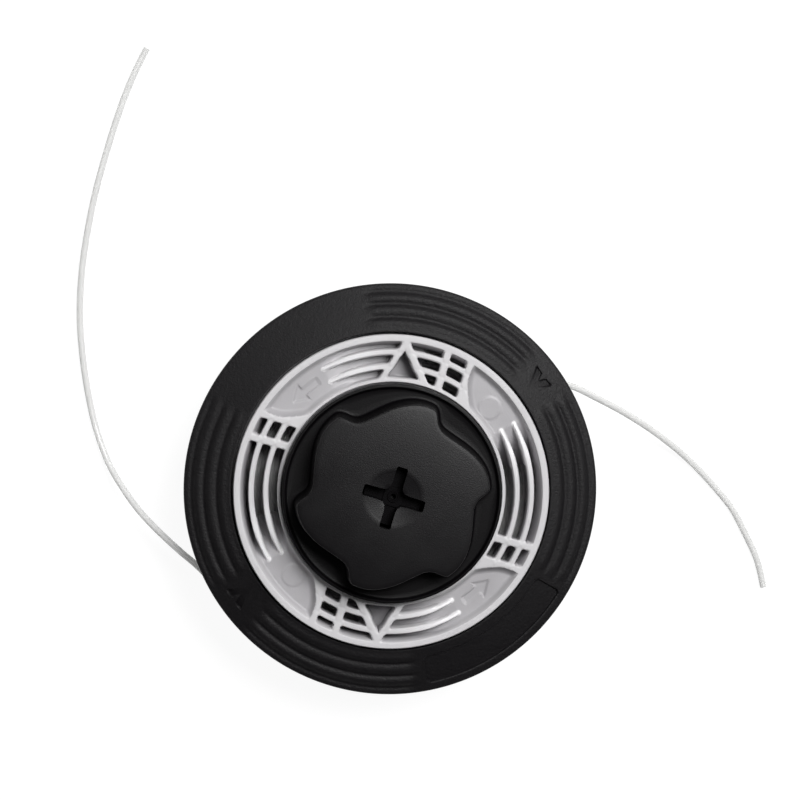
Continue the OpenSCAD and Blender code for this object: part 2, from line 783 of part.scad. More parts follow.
// Low arrow on the smooth floor that shows the winding direction
module floor_arrow() {
    relief = 0.3;
    tail_a = 66.5;
    neck_a = 73;
    tip_a = 80.5;
    r_mid = (inner_rim_r + rim_in_r) / 2;
    translate([0, 0, floor_z - embed])
        linear_extrude(relief + embed)
            polygon([polar(r_mid - 1.1, tail_a), polar(r_mid + 1.1, tail_a), polar(r_mid + 1.1, neck_a),
                     polar(r_mid + 2.7, neck_a), polar(r_mid, tip_a), polar(r_mid - 2.7, neck_a),
                     polar(r_mid - 1.1, neck_a)]);
}

// Faint round mark on the smooth floor
module floor_disc() {
    relief = 0.15;
    rotate([0, 0, 73.5])
        translate([(inner_rim_r + rim_in_r) / 2 - 1, 0, floor_z - embed])
            cylinder(r = 3, h = relief + embed, $fn = 48);
}

// Turns of line on the spool, as one solid with a line's bumps on its outside
module line_winding() {
    turns = floor((winding_w - 2 * run_gap) / line_d);
    side_gap = (winding_w - turns * line_d) / 2;
    color([0.88, 0.88, 0.86])
        rotate_extrude()
            polygon(concat(
                [[barrel_r + fit_gap, winding_z + side_gap]],
                [for (i = [0 : turns - 1], a = [-60 : 30 : 60])
                    [winding_d / 2 - line_d / 2 + line_d / 2 * cos(a),
                     winding_z + side_gap + (i + 0.5) * line_d + line_d / 2 * sin(a)]],
                [[barrel_r + fit_gap, winding_z + winding_w - side_gap]]));
}

// Radius of the lobed grip: a steep face, a short crest, then a long fall to the valley
function lobe_r(a) =
    let (pitch = 360 / lobe_count,
         q = ((a + 7) % pitch + pitch) % pitch,
         rise = 12, crest = 16, foot = pitch - 6)
    lobe_r_min + (lobe_r_max - lobe_r_min)
        * (q < rise ? smooth(q / rise) : q < crest ? 1
           : q < foot ? 1 - smooth((q - crest) / (foot - crest)) : 0);

module lobe_outline() {
    step = 2;
    polygon([for (a = [0 : step : 360 - step]) polar(lobe_r(a), a)]);
}

// Black tap knob: cup rim, lobed grip with domed top, cross slot and screw tube
module knob() {
    color([0.09, 0.09, 0.10])
        difference() {
            union() {
                tube(knob_d / 2, lobe_r_min - 2 * grip_wall, knob_floor_z, knob_floor_top);
                tube(knob_d / 2, knob_d / 2 - knob_rim_t, knob_z, knob_floor_top + knob_rim_h);
                grip_body();
            }
            grip_hollow();
            translate([0, 0, knob_z - 1])
                cylinder(r = spigot_r + fit_gap, h = spigot_h + run_gap + 1);
            translate([0, 0, knob_z])
                cylinder(r = screw_r + 2 * fit_gap, h = grip_top - knob_z);
            translate([0, 0, screw_seat_z])
                cylinder(r = well_r, h = grip_h);
            cross_slot();
        }
}

// Lobed grip, cut off by a wide sphere as its domed top
module grip_body() {
    dome_r = (pow(lobe_r_max, 2) + pow(dome_h, 2)) / (2 * dome_h);
    top_share = lobe_r_max / (lobe_r_max + grip_draft);
    grip_z = knob_floor_z + embed;
    intersection() {
        translate([0, 0, grip_z])
            linear_extrude(grip_top + dome_h - grip_z, scale = top_share)
                scale(1 / top_share)
                    lobe_outline();
        translate([0, 0, grip_top + dome_h - dome_r])
            sphere(r = dome_r, $fn = 360);
    }
}

// Hollow inside the grip, round the screw tube and between the inner ribs
module grip_hollow() {
    inner_rib_t = 1.6;
    rib_turn = 0.4;
    difference() {
        translate([0, 0, knob_z - 1])
            linear_extrude(grip_top - grip_wall - knob_z + 1)
                offset(delta = -grip_wall)
                    lobe_outline();
        translate([0, 0, knob_z - 2])
            cylinder(r = tube_r, h = grip_top - knob_z + 1);
        for (i = [0 : lobe_count - 1])
            rotate([0, 0, (i + rib_turn) * 360 / lobe_count])
                translate([0, -inner_rib_t / 2, knob_z + 1])
                    cube([lobe_r_max, inner_rib_t, grip_top - knob_z]);
    }
}

// Cross slot with a conical lead-in between its arms
module cross_slot() {
    cone_r = 7.9;
    cone_depth = 2.4;
    slot_top = grip_top + dome_h + 1;
    for (a = [70, 160])
        rotate([0, 0, a])
            translate([-cross_reach, -cross_w / 2, grip_top + dome_h - cross_depth])
                cube([2 * cross_reach, cross_w, cross_depth + 1]);
    translate([0, 0, grip_top + dome_h - cone_depth])
        cylinder(r1 = well_r, r2 = cone_r, h = cone_depth + eps);
}

module knob_washer() {
    color([0.72, 0.73, 0.75])
        tube(well_r - fit_gap, screw_r + fit_gap, screw_seat_z, screw_seat_z + screw_washer_t);
}

// Socket-head screw that clamps the knob to the spool's spigot
module knob_screw() {
    head_z = screw_seat_z + screw_washer_t;
    color([0.30, 0.30, 0.31])
        difference() {
            union() {
                translate([0, 0, head_z])
                    cylinder(r = screw_head_r, h = screw_head_h - 0.5);
                translate([0, 0, head_z + screw_head_h - 0.5 - eps])
                    cylinder(r1 = screw_head_r, r2 = screw_head_r - 0.5, h = 0.5);
                translate([0, 0, head_z - screw_len])
                    cylinder(r = screw_r, h = screw_len + 1);
            }
            translate([0, 0, head_z + screw_head_h - 1.6])
                cylinder(r = screw_socket_r / cos(30), h = 3, $fn = 6);
        }
}

// Routes of the two free ends of line, from inside the eyelets to their cut ends on the floor
tail_start_radii = [wall_in_r + run_gap, wall_in_r + 2.2, wall_in_r + 4.4];
right_route = [
    for (r = tail_start_radii) polar_at(r, outlet_angle, outlet_z),
    [49.5, 31.2, 21.8], [53.5, 31.4, 20.5], [58, 30, 18.6], [64.5, 26.8, 15.5], [73, 22.3, 11.3],
    [82, 16.8, 7], [90.5, 10.6, 3.6], [98, 4, 1.7], [105, -3.5, 1], [110, -9.8, 1],
    [114.5, -18.2, 1], [118, -25.8, 1], [120.2, -34.5, 1]];
left_route = [
    for (r = tail_start_radii) polar_at(r, outlet_angle + 180, outlet_z),
    [-49.5, -31.2, 21.8], [-53.8, -30, 20.5], [-59.5, -25.4, 18.6], [-64.5, -21.1, 16.4],
    [-71.5, -14.8, 13], [-77.3, -8.9, 9.6], [-82.5, -2, 6.2], [-87, 5.3, 3.4], [-90.8, 15, 1.5],
    [-93.2, 25, 1], [-95.1, 37.5, 1], [-96, 50, 1], [-95.6, 62, 1], [-94.3, 73, 1],
    [-91.4, 88, 1], [-87.3, 103, 1], [-82.6, 117.3, 1], [-78.6, 127, 1], [-74.8, 134.5, 1]];

function polar_at(r, a, z) = [r * cos(a), r * sin(a), z];

// Curve through the route's points, t counted in points
function route_point(route, t) =
    let (n = len(route) - 1, i = min(floor(t), n - 1), u = t - i,
         p0 = route[max(i - 1, 0)], p1 = route[i], p2 = route[i + 1], p3 = route[min(i + 2, n)])
    0.5 * (2 * p1 + u * (p2 - p0) + u * u * (2 * p0 - 5 * p1 + 4 * p2 - p3)
           + u * u * u * (3 * p1 - p0 - 3 * p2 + p3));

module line_tail(route, spacing) {
    sides = 8;
    n = len(route) - 1;
    rings = round(n * spacing);
    centre = [for (i = [0 : rings])
                  let (p = route_point(route, n * i / rings)) [p[0], p[1], max(p[2], line_d / 2)]];
    points = [for (i = [0 : rings])
                  let (d = centre[min(i + 1, rings)] - centre[max(i - 1, 0)],
                       t = d / norm(d),
                       side = cross([0, 0, 1], t) / norm(cross([0, 0, 1], t)),
                       up = cross(t, side))
                  for (j = [0 : sides - 1])
                      centre[i] + line_d / 2 * (cos(360 * j / sides) * side + sin(360 * j / sides) * up)];
    color([0.90, 0.90, 0.88])
        polyhedron(points, sweep_faces(rings + 1, sides));
}

upper_housing();
drive_insert();
index_crown();
lower_spring_seat();
spring();
eyelet(outlet_angle);  // eyelet_right
eyelet(outlet_angle + 180);  // eyelet_left
base_ring();
index_sleeve();
upper_spring_seat();
pawl_ring();
thrust_washer();
spool();
spool_flange();
line_winding();
knob();
knob_washer();
knob_screw();
line_tail(right_route, 2);  // line_tail_right
line_tail(left_route, 2);  // line_tail_left
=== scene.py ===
import json
import math

import bpy
from mathutils import Matrix, Vector


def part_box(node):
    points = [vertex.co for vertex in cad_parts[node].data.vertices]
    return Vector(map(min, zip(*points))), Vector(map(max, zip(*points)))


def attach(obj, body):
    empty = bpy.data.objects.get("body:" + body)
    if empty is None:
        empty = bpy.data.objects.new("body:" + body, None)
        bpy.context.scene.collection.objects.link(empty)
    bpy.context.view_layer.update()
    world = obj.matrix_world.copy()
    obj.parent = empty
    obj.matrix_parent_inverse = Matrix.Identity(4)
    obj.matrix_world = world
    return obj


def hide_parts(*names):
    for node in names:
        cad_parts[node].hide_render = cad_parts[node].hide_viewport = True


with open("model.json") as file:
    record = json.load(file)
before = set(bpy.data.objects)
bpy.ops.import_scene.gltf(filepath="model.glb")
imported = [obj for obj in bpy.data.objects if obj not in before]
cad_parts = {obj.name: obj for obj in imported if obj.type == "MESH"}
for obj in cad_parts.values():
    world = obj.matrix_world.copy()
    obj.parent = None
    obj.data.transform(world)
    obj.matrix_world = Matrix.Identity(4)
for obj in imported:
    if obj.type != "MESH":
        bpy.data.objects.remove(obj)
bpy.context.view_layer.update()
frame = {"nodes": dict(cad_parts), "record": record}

# Lengths are millimetres and angles degrees, and meshes are written in metres
MM = 0.001
# Faces that meet at more than this angle keep a sharp edge
SHARP_ANGLE = 38
# Small chamfer on the moulded edges
BREAK = 0.2

# Camera of the photograph: above the knob, a little to the upper left, tilted back onto the head
CAMERA_PLACE = (-28.6, 76.3, 733.0)
CAMERA_TILT_X = -3.992
CAMERA_TILT_Y = -2.55
CAMERA_LENS = 105
SENSOR_WIDTH = 36

# Free line ends, nearly as in the part's source
LINE_DIAMETER = 2
OUTLET_ANGLE = 33
OUTLET_Z = 22.5
TAIL_START_RADII = (50.3, 52.2, 54.4)
RIGHT_ROUTE = [
    (49.5, 31.2, 21.8), (53.5, 31.4, 20.5), (58, 30, 18.6), (64.5, 26.8, 15.5), (73, 22.3, 11.3),
    (82, 16.8, 7), (90.5, 10.6, 3.6), (98, 4, 1.7), (105, -3.5, 1), (110, -9.8, 1),
    (114.5, -18.2, 1), (118, -25.8, 1), (120.2, -34.5, 1)]
LEFT_ROUTE = [
    (-49.5, -31.2, 21.8), (-54.2, -28.8, 20.5), (-59.7, -24, 18.6), (-64.7, -20.1, 16.4),
    (-71.6, -14.2, 13), (-77.3, -8.6, 9.6), (-82.5, -2, 6.2), (-87, 5.3, 3.4), (-90.8, 15, 1.5),
    (-93.2, 25, 1), (-95.1, 37.5, 1), (-96, 50, 1), (-95.6, 62, 1), (-94.3, 73, 1),
    (-91.4, 88, 1), (-87.3, 103, 1), (-82.6, 117.3, 1), (-78.6, 127, 1), (-74.8, 134.5, 1)]

# Wound line on the barrel
WINDING_STEPS = 240
WINDING_R = 46.15
WINDING_TOP_Z = 27.3
WINDING_FOOT_Z = 17.3
BARREL_R = 22.15

# Base ring: section, ridges, plate and marks
RING_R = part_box("base_ring")[1].x / MM
RING_BORE_R = 48.1
RING_TOP_Z = 36
RING_EDGE_Z = 32
RING_FOOT_Z = 29
RING_SEAT_Z = 31.3
RING_EDGE_ROUND = 0.9
RING_BORE_ROUND = 0.4
LIP_WIDTH = 1.6
LIP_HEIGHT = 0.8
SKIRT_R = 54.1
SKIRT_IN_R = 52.3
SKIRT_FOOT_Z = 28.5
RIDGE_CRESTS = (58.5, 54.9, 51.0)
RIDGE_VALLEYS = (60.1, 56.4, 52.5)
RIDGE_HEIGHT = 0.35
RIDGE_DEPTH = 0.4
CREST_HALF_WIDTH = 1.4
VALLEY_HALF_WIDTH = 0.8
RIDGE_FADE = 5
RIDGE_GROUPS = ((-27, 28), (44, 97), (153, 208), (224, 277))
PLATE_MIDDLE_ANGLE = 305
PLATE_HALF_ANGLE = 24
PLATE_MIDDLE_R = 55.55
PLATE_HALF_WIDTH = 4.25
PLATE_CORNER = 1.3
MARK_ANGLES = (36.9, 214.8)
MARK_ARM = ((51.4, 0), (55.4, 0), (57.7, 1.2), (57.7, 3.6))
ENGRAVE_DEPTH = 0.75
ENGRAVE_WALL = 0.3
MARK_DEPTH = 0.8
MARK_REACH = 5
GUSSET_COUNT = 24
GUSSET_WIDTH = 1.2
GUSSET_ROOT = 0.6
TAB_COUNT = 6
TAB_WIDTH = 7.8
TAB_LENGTH = 7
TAB_ROOT = 1
HOOK_REACH = 1.6
HOOK_ROOT = 0.3
HOOK_FOOT = 0.2
HOOK_TOP = 3.6
HOOK_FACE = 0.8
RING_STEPS = 1440
RING_ROWS = 46

# Spool flange: rims, ribs, windows, triangle, ramps and end walls
FLANGE_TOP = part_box("spool_flange")[1].z / MM
FLANGE_Z = 28
FLANGE_R = 47.4
FLANGE_BORE_R = 33.1
RIM_IN_R = 45.3
INNER_RIM_R = 34.3
SEAT_R = 49.5
SEAT_Z = 31
SEAT_CHAMFER = 0.3
SEAT_ROOT = 0.15
BARREL_FIT_R = 22.1
WEB_Z = 30
COLLAR_R = 31
COLLAR_Z = 37
# How far bars and edges run into the rims
ROOT = 0.6
RIB_RADII = (37.77, 42.09)
RIB_HALF = 0.85
RIB_END_HALF = 0.55
RIB_DROP = 0.15
RIB_END = 62
RIB_END_DROP = 1.9
RIB_FALL_START = 46
RIB_BLEND = 0.8
RIB_MARGIN = 0.3
QUARTER_START = 57
QUARTER = 90
WALL_SWEEP = 12
WALL_POWER = 2.6
WALL_FILLET = 2.0
LAND_ENDS = (-1.5, 3.2)
CROSSBAR_ENDS = (9, 11.3)
CROSSBAR_HALF = 1.15
TRIANGLE_FRAME = ((13.5, False), (26.6, True), (28.4, True), (40.6, False))
TRIANGLE_HOLE = ((19.4, 34.6), (27.8, 42.9), (35.6, 34.6))
FLOOR_Z = FLANGE_TOP - 2.6
RAMP_END = 62
RAMP_STARTS = (19.3, 44)
RAMP_LOWS = (31, 28.3)
RAMP_EDGE = 0.3
RIM_BLEND = 0.6
GRID_FOOT_Z = FLANGE_TOP - 7.2
GRID_LIFT = 0.6
PLATE_THICKNESS = 0.8
EDGE_ROUND = 0.4
WALL_FOOT = 0.35
FLOOR_FILLET = 1.5
FILLET_START = 50
SKIRT_W = 1.4
SKIRT_DROP = 6.2
CORNER_ROUND = 0.65
ARROW_TAIL = 66.4
ARROW_NECK = 74.1
ARROW_TIP = 80.4
ARROW_SHAFT_HALF = 1.15
ARROW_HEAD_HALF = 2.8
ARROW_DEPTH = 0.5
ARROW_OVERLAP = 0.5
DISC_ANGLE = 73.5
DISC_INSET = 1
DISC_R = 3.4
DISC_RELIEF = 0.2
MARK_EDGE = 0.2
# Painted light and shade in the flange's colour: bars lighter than the floors, rib ends whiter from this
# angle on (a painted highlight along with wear), walls and deep places darker (painted shade)
RIB_HIGHLIGHT_AND_WEAR_START = 30
LAND_PAINTED_LIGHT = 0.42
WALL_PAINTED_SHADE = -0.8
PAINTED_SHADE_START = 0.6
PAINTED_SHADE_DEPTH = 5
PAINTED_SHADE_SHARES = (1, 0.45)
FLANGE_STEPS = 900
FLANGE_ROWS = 52
# Points nearer to an edge than this share of a cell move onto it, where the distance is even enough
SNAP_SHARE = 0.6
SNAP_STEP = 0.02
SNAP_STEEP = (0.25, 4)
OPEN_MARGIN = 0.02

# Knob: cup, lobed grip, dome, cross slot and screw tube
KNOB_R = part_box("knob")[1].x / MM
KNOB_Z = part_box("knob")[0].z / MM
KNOB_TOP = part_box("knob")[1].z / MM
KNOB_FLOOR_Z = 42
KNOB_FLOOR_UNDER_Z = 39.5
KNOB_RIM_Z = 43
KNOB_RIM_WALL = 1
KNOB_RIM_ROUND = 0.35
KNOB_BREAK = 0.1
# Curve up to the cup's rim: radius beside the cup's radius, and share of the rim's height
CUP_FLOOR_EDGE = -0.6
CUP_CURVE = ((-0.475, 0.0625), (-0.275, 0.25), (-0.075, 0.5625), (0.09, 0.865), (0.25, 1))
LOBE_COUNT = 6
LOBE_MAX = 28.5
LOBE_MIN = 24
LOBE_TURN = 0.3
LOBE_RISE = 10
LOBE_CREST = 3
LOBE_VALLEY = 4
NOTCH_ROUND = 5
CREST_ROUND = 1
DOME_RISE = 1.5
DOME_POWER = 3
GRIP_EDGE = 0.35
GRIP_DRAFT = 0.9
GRIP_FOOT = 0.8
GRIP_WALL = 2.5
CONE_R = 7.9
CONE_DEPTH = 0.65
CONE_EDGE = 0.15
MOUTH_R = 3.35
CAP_TOP_Z = 48.9
CAP_UNDER_Z = 48.1
CAP_HOLE_R = 0.8
CAP_RING_R = 1.75
CAP_RING_W = 0.5
CAP_RING_H = 0.35
WELL_R = 3.6
WELL_Z = 44.9
TUBE_R = 8.6
SPIGOT_R = 5.6
SPIGOT_TOP_Z = 43.3
SCREW_HOLE_R = 2.6
CROSS_ANGLE = 73.1
CROSS_START = 2.85
CROSS_REACH = 9.35
CROSS_HALF = 1.7
CROSS_SHOULDER = 1.95
CROSS_TAPER = 1.5
CROSS_BEVEL = 0.4
CROSS_FOOT_Z = 48.3
KNOB_STEPS = 1080
# Height and radius, in metres, where the knob's painted shade fades out: darker and duller below the height,
# least glossy inside the radius
KNOB_SHADE_Z = (0.0493, 0.0513)
KNOB_SHADE_R = (0.0098, 0.0108)

# The part of a noise's values that materials use
NOISE_LOW = 0.3
NOISE_HIGH = 0.7
# Colour sockets of a Mix node
MIX_A = 6
MIX_B = 7
MIX_OUT = 2

# Floor and world; softboxes as name, place and size in metres, and power in watts
FLOOR_HALF = 4
FLOOR_GLOW = 0.93
FLOOR_SHADOW = 0.16
FLOOR_GAP = 0.0001
WORLD_LIGHT = 0.045
SOFTBOXES = [
    ("key_light", (0.41, 0.49, 1.12), 0.60, 18),
    ("fill_light", (-0.75, 0.60, 0.85), 0.9, 2),
]


def make_camera():
    data = bpy.data.cameras.new("camera")
    data.sensor_width = SENSOR_WIDTH
    data.lens = CAMERA_LENS
    data.clip_start = 0.01
    data.clip_end = 20
    camera = bpy.data.objects.new("camera", data)
    bpy.context.scene.collection.objects.link(camera)
    turn = (Matrix.Rotation(math.radians(CAMERA_TILT_X), 4, "X")
            @ Matrix.Rotation(math.radians(CAMERA_TILT_Y), 4, "Y"))
    camera.matrix_world = Matrix.Translation(Vector(CAMERA_PLACE) * MM) @ turn
    bpy.context.scene.camera = camera


def polar(radius, angle):
    return (radius * math.cos(math.radians(angle)), radius * math.sin(math.radians(angle)))


def clamp(value):
    return min(max(value, 0.0), 1.0)


def smooth(value):
    t = clamp(value)
    return t * t * (3 - 2 * t)


def rounded_max(a, b, width):
    """The larger of two distances, with the corner between them rounded."""
    near = max(width - abs(a - b), 0) / width
    return max(a, b) + near * near * width / 4


def into_polygon(x, y, corners):
    """Distance into a convex polygon given anticlockwise, negative outside."""
    edges = zip(corners, corners[1:] + corners[:1])
    return min(((x1 - x0) * (y - y0) - (y1 - y0) * (x - x0)) / math.hypot(x1 - x0, y1 - y0)
               for (x0, y0), (x1, y1) in edges)


def into_rounded_box(x, y, half_x, half_y, corner):
    """Distance into a box round the origin with rounded corners, negative outside."""
    dx = abs(x) - half_x + corner
    dy = abs(y) - half_y + corner
    return corner - math.hypot(max(dx, 0), max(dy, 0)) - min(max(dx, dy), 0)


def quarter_round(distance, radius):
    """How far a rounded edge has dropped, this far in from the wall."""
    x = 1 - clamp(distance / radius)
    return radius * (1 - math.sqrt(1 - x * x))


def loop_mesh(rings, skipped=()):
    """Points and faces of a closed body from rings of points that run round the Z axis.

    The rings go outwards on the top and back inwards below. A skipped (ring, step) is left open."""
    count = len(rings[0])
    points = [point for ring in rings for point in ring]
    faces = []
    for k in range(len(rings)):
        a = k * count
        b = (k + 1) % len(rings) * count
        for i in range(count):
            n = (i + 1) % count
            if (k, i) not in skipped:
                faces.append((a + i, b + i, b + n, a + n))
    return points, faces


def turned_ring(r, z, steps):
    return [(*polar(r, 360 * i / steps), z) for i in range(steps)]


def add_prism(points, faces, section, width, angle):
    """Adds a plate with a section of (radius, z) corners, square to the radius at an angle."""
    first = len(points)
    c, s = math.cos(math.radians(angle)), math.sin(math.radians(angle))
    for side in (-width / 2, width / 2):
        for r, z in section:
            points.append((r * c - side * s, r * s + side * c, z))
    n = len(section)
    faces.append(tuple(first + k for k in range(n)))
    faces.append(tuple(first + n + k for k in reversed(range(n))))
    for k in range(n):
        m = (k + 1) % n
        faces.append((first + m, first + k, first + n + k, first + n + m))


def make_piece(name, points, faces, material, body, node, painted_light_and_wear=None):
    """One visible piece from points in millimetres; painted_light_and_wear gives each point's painted light
    and shade, with wear, for the material.
    """
    used = sorted({index for face in faces for index in face})
    place = {old: new for new, old in enumerate(used)}
    mesh = bpy.data.meshes.new(name)
    mesh.from_pydata([tuple(c * MM for c in points[k]) for k in used], [],
                     [tuple(place[k] for k in face) for face in faces])
    mesh.update()
    mesh.shade_smooth()
    mesh.set_sharp_from_angle(angle=math.radians(SHARP_ANGLE))
    if painted_light_and_wear:
        wear = mesh.attributes.new("painted_light_and_wear", "FLOAT", "POINT")
        wear.data.foreach_set("value", [painted_light_and_wear[k] for k in used])
    mesh.materials.append(material)
    piece = bpy.data.objects.new(name, mesh)
    bpy.context.scene.collection.objects.link(piece)
    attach(piece, body)
    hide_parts(node)
    return piece


def smooth_route(points, steps=12):
    """Points on the same curve through the route's points as in the part's source."""
    route = [Vector(p) for p in points]
    last = len(route) - 1
    out = []
    for i in range(last):
        p0, p1, p2, p3 = route[max(i - 1, 0)], route[i], route[i + 1], route[min(i + 2, last)]
        for k in range(steps):
            u = k / steps
            point = 0.5 * (2 * p1 + u * (p2 - p0) + u * u * (2 * p0 - 5 * p1 + 4 * p2 - p3)
                           + u ** 3 * (3 * p1 - p0 - 3 * p2 + p3))
            point.z = max(point.z, LINE_DIAMETER / 2)
            out.append(point * MM)
    return out + [route[-1] * MM]


def make_winding(material):
    """Wound line: turns side by side on the outside, and rings of line seen through the windows."""
    bump = LINE_DIAMETER / 2

    def arc(r, z, turns):
        return [(r + x, z + y) for x, y in (polar(bump, a) for a in turns)]

    section = []
    layers = int((WINDING_R - BARREL_R) / LINE_DIAMETER)
    for k in range(layers):
        middle = WINDING_R - (layers - k - 0.5) * LINE_DIAMETER
        section += arc(middle, WINDING_TOP_Z - bump, (150, 120, 90, 60, 30))
    for k in range(round((WINDING_TOP_Z - WINDING_FOOT_Z) / LINE_DIAMETER)):
        middle = WINDING_TOP_Z - (k + 0.5) * LINE_DIAMETER
        section += arc(WINDING_R - bump, middle, range(60 if k else 0, -61, -30))
    section += [(BARREL_R, WINDING_FOOT_Z), (BARREL_R, WINDING_TOP_Z - bump)]
    points, faces = loop_mesh([turned_ring(r, z, WINDING_STEPS) for r, z in section])
    make_piece("wound_turns", points, faces, material, "spool_set", "line_winding")


def make_tail(name, angle, route, material):
    start = [(*polar(r, angle), OUTLET_Z) for r in TAIL_START_RADII]
    points = smooth_route(start + route)
    curve = bpy.data.curves.new(name, "CURVE")
    curve.dimensions = "3D"
    curve.bevel_depth = LINE_DIAMETER / 2 * MM
    curve.bevel_resolution = 6
    curve.use_fill_caps = True
    spline = curve.splines.new("POLY")
    spline.points.add(len(points) - 1)
    for spot, point in zip(spline.points, points):
        spot.co = (*point, 1)
    curve.materials.append(material)
    tail = bpy.data.objects.new(name, curve)
    bpy.context.scene.collection.objects.link(tail)
    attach(tail, "housing")
    return tail


def ring_slope_z(r):
    share = (r - RING_BORE_R) / (RING_R - RING_EDGE_ROUND - RING_BORE_R)
    return RING_TOP_Z + (RING_EDGE_Z - RING_TOP_Z) * share


def ridge_wave(r, angle):
    """Height of the soft concentric ridges, which fade out at the ends of their groups."""
    turn = (angle + 180) % 360 - 180
    wave = 0
    for start, end in RIDGE_GROUPS:
        for a in (turn, turn + 360):
            fade = smooth((a - start) / RIDGE_FADE + 0.5) * smooth((end - a) / RIDGE_FADE + 0.5)
            if fade > 0:
                up = sum(math.exp(-((r - c) / CREST_HALF_WIDTH) ** 2) for c in RIDGE_CRESTS)
                down = sum(math.exp(-((r - c) / VALLEY_HALF_WIDTH) ** 2) for c in RIDGE_VALLEYS)
                wave += fade * (RIDGE_HEIGHT * up - RIDGE_DEPTH * down)
    return wave


def engraving(r, angle):
    """Depth of the bare plate and of the two V marks."""
    across = math.radians(angle - PLATE_MIDDLE_ANGLE) * r
    plate = into_rounded_box(across, r - PLATE_MIDDLE_R, math.radians(PLATE_HALF_ANGLE) * r,
                             PLATE_HALF_WIDTH, PLATE_CORNER)
    depth = ENGRAVE_DEPTH * smooth(plate / ENGRAVE_WALL + 0.5)
    for mark in MARK_ANGLES:
        x, y = polar(r, angle - mark)
        if x > 0 and abs(y) < MARK_REACH:
            inner_r, outer_r = MARK_ARM[0][0], MARK_ARM[2][0]
            deeper = MARK_DEPTH * clamp((x - inner_r) / (outer_r - inner_r)) ** 2
            depth = max(depth, deeper * smooth(into_polygon(x, abs(y), MARK_ARM) / ENGRAVE_WALL + 0.5))
    return depth


def make_base_ring(material):
    angles = [360 * i / RING_STEPS for i in range(RING_STEPS)]
    edge_start = RING_R - RING_EDGE_ROUND
    bore_start = RING_BORE_R + RING_BORE_ROUND * 0.3
    rings = []
    for j in range(RING_ROWS + 1):
        r = bore_start + (edge_start - bore_start) * j / RING_ROWS
        base = ring_slope_z(r) - quarter_round(r - RING_BORE_R, RING_BORE_ROUND)
        rings.append([(*polar(r, a), base + ridge_wave(r, a) - engraving(r, a)) for a in angles])
    lip_in_r = RING_R - LIP_WIDTH
    section = [(edge_start + x, RING_EDGE_Z - RING_EDGE_ROUND + y)
               for x, y in (polar(RING_EDGE_ROUND, a) for a in (60, 40, 20, 0))]
    section += [(RING_R, RING_FOOT_Z + BREAK), (RING_R - BREAK, RING_FOOT_Z), (lip_in_r + BREAK, RING_FOOT_Z),
                (lip_in_r, RING_FOOT_Z + BREAK), (lip_in_r, RING_FOOT_Z + LIP_HEIGHT),
                (SKIRT_R + 1, RING_SEAT_Z), (SKIRT_R + 0.2, RING_SEAT_Z - 0.05), (SKIRT_R, RING_SEAT_Z - 0.3),
                (SKIRT_R, SKIRT_FOOT_Z + BREAK), (SKIRT_R - BREAK, SKIRT_FOOT_Z),
                (SKIRT_IN_R + BREAK, SKIRT_FOOT_Z), (SKIRT_IN_R, SKIRT_FOOT_Z + BREAK),
                (SKIRT_IN_R, RING_SEAT_Z), (RING_BORE_R, RING_SEAT_Z),
                (RING_BORE_R, RING_TOP_Z - RING_BORE_ROUND)]
    rings += [turned_ring(r, z, RING_STEPS) for r, z in section]
    points, faces = loop_mesh(rings)
    gusset = [(SKIRT_R - GUSSET_ROOT, SKIRT_FOOT_Z + 0.4), (SKIRT_R + GUSSET_ROOT, SKIRT_FOOT_Z + 0.4),
              (RING_R - 1, RING_FOOT_Z + 0.3), (RING_R - 1, RING_FOOT_Z + 1),
              (SKIRT_R + 1, RING_SEAT_Z + 0.5), (SKIRT_R - GUSSET_ROOT, RING_SEAT_Z + 0.5)]
    for k in range(GUSSET_COUNT):
        add_prism(points, faces, gusset, GUSSET_WIDTH, OUTLET_ANGLE + (k + 0.5) * 360 / GUSSET_COUNT)
    tab_foot = SKIRT_FOOT_Z - TAB_LENGTH
    tab_top = SKIRT_FOOT_Z + TAB_ROOT
    tab_r = SKIRT_R - BREAK
    tab = [(SKIRT_IN_R, tab_foot), (tab_r, tab_foot), (tab_r, tab_top), (SKIRT_IN_R, tab_top)]
    tip_r = SKIRT_IN_R - HOOK_REACH
    root_r = SKIRT_IN_R + HOOK_ROOT
    hook_top = tab_foot + HOOK_TOP
    hook = [(tip_r, hook_top - HOOK_FACE), (root_r, tab_foot + HOOK_FOOT),
            (root_r, hook_top), (tip_r, hook_top)]
    for k in range(TAB_COUNT):
        angle = OUTLET_ANGLE + (k + 0.5) * 360 / TAB_COUNT
        add_prism(points, faces, tab, TAB_WIDTH, angle)
        add_prism(points, faces, hook, TAB_WIDTH, angle)
    make_piece("outer_ring", points, faces, material, "housing", "base_ring")


def wall_angle(r):
    """Angle of a quarter's curved end wall at a radius, counted from the wall's outer end."""
    share = clamp((r - INNER_RIM_R + ROOT) / (RIM_IN_R - INNER_RIM_R + 2 * ROOT))
    return -WALL_SWEEP * (1 - share) ** WALL_POWER


def quarter_place(r, angle):
    """Quarter number and the angle within the quarter."""
    turn = (angle - QUARTER_START) % 360
    number = int(turn // QUARTER)
    u = turn - QUARTER * number
    if u >= QUARTER + wall_angle(r):
        u -= QUARTER
        number = (number + 1) % 4
    return number, u


def line_between(ends):
    """Inner and outer end of a straight edge across the flange, from its two angles."""
    return polar(INNER_RIM_R - ROOT, ends[0]), polar(RIM_IN_R + ROOT, ends[1])


def beside(x, y, line):
    """Distance to the clockwise side of a line that runs outwards."""
    (x0, y0), (x1, y1) = line
    return ((x - x0) * (y1 - y0) - (y - y0) * (x1 - x0)) / math.hypot(x1 - x0, y1 - y0)


LAND_LINE = line_between(LAND_ENDS)
CROSSBAR_LINE = line_between(CROSSBAR_ENDS)
FRAME_CORNERS = [polar(RIM_IN_R + ROOT if outer else INNER_RIM_R - ROOT, a) for a, outer in TRIANGLE_FRAME]
HOLE_CORNERS = [polar(r, a) for a, r in TRIANGLE_HOLE]


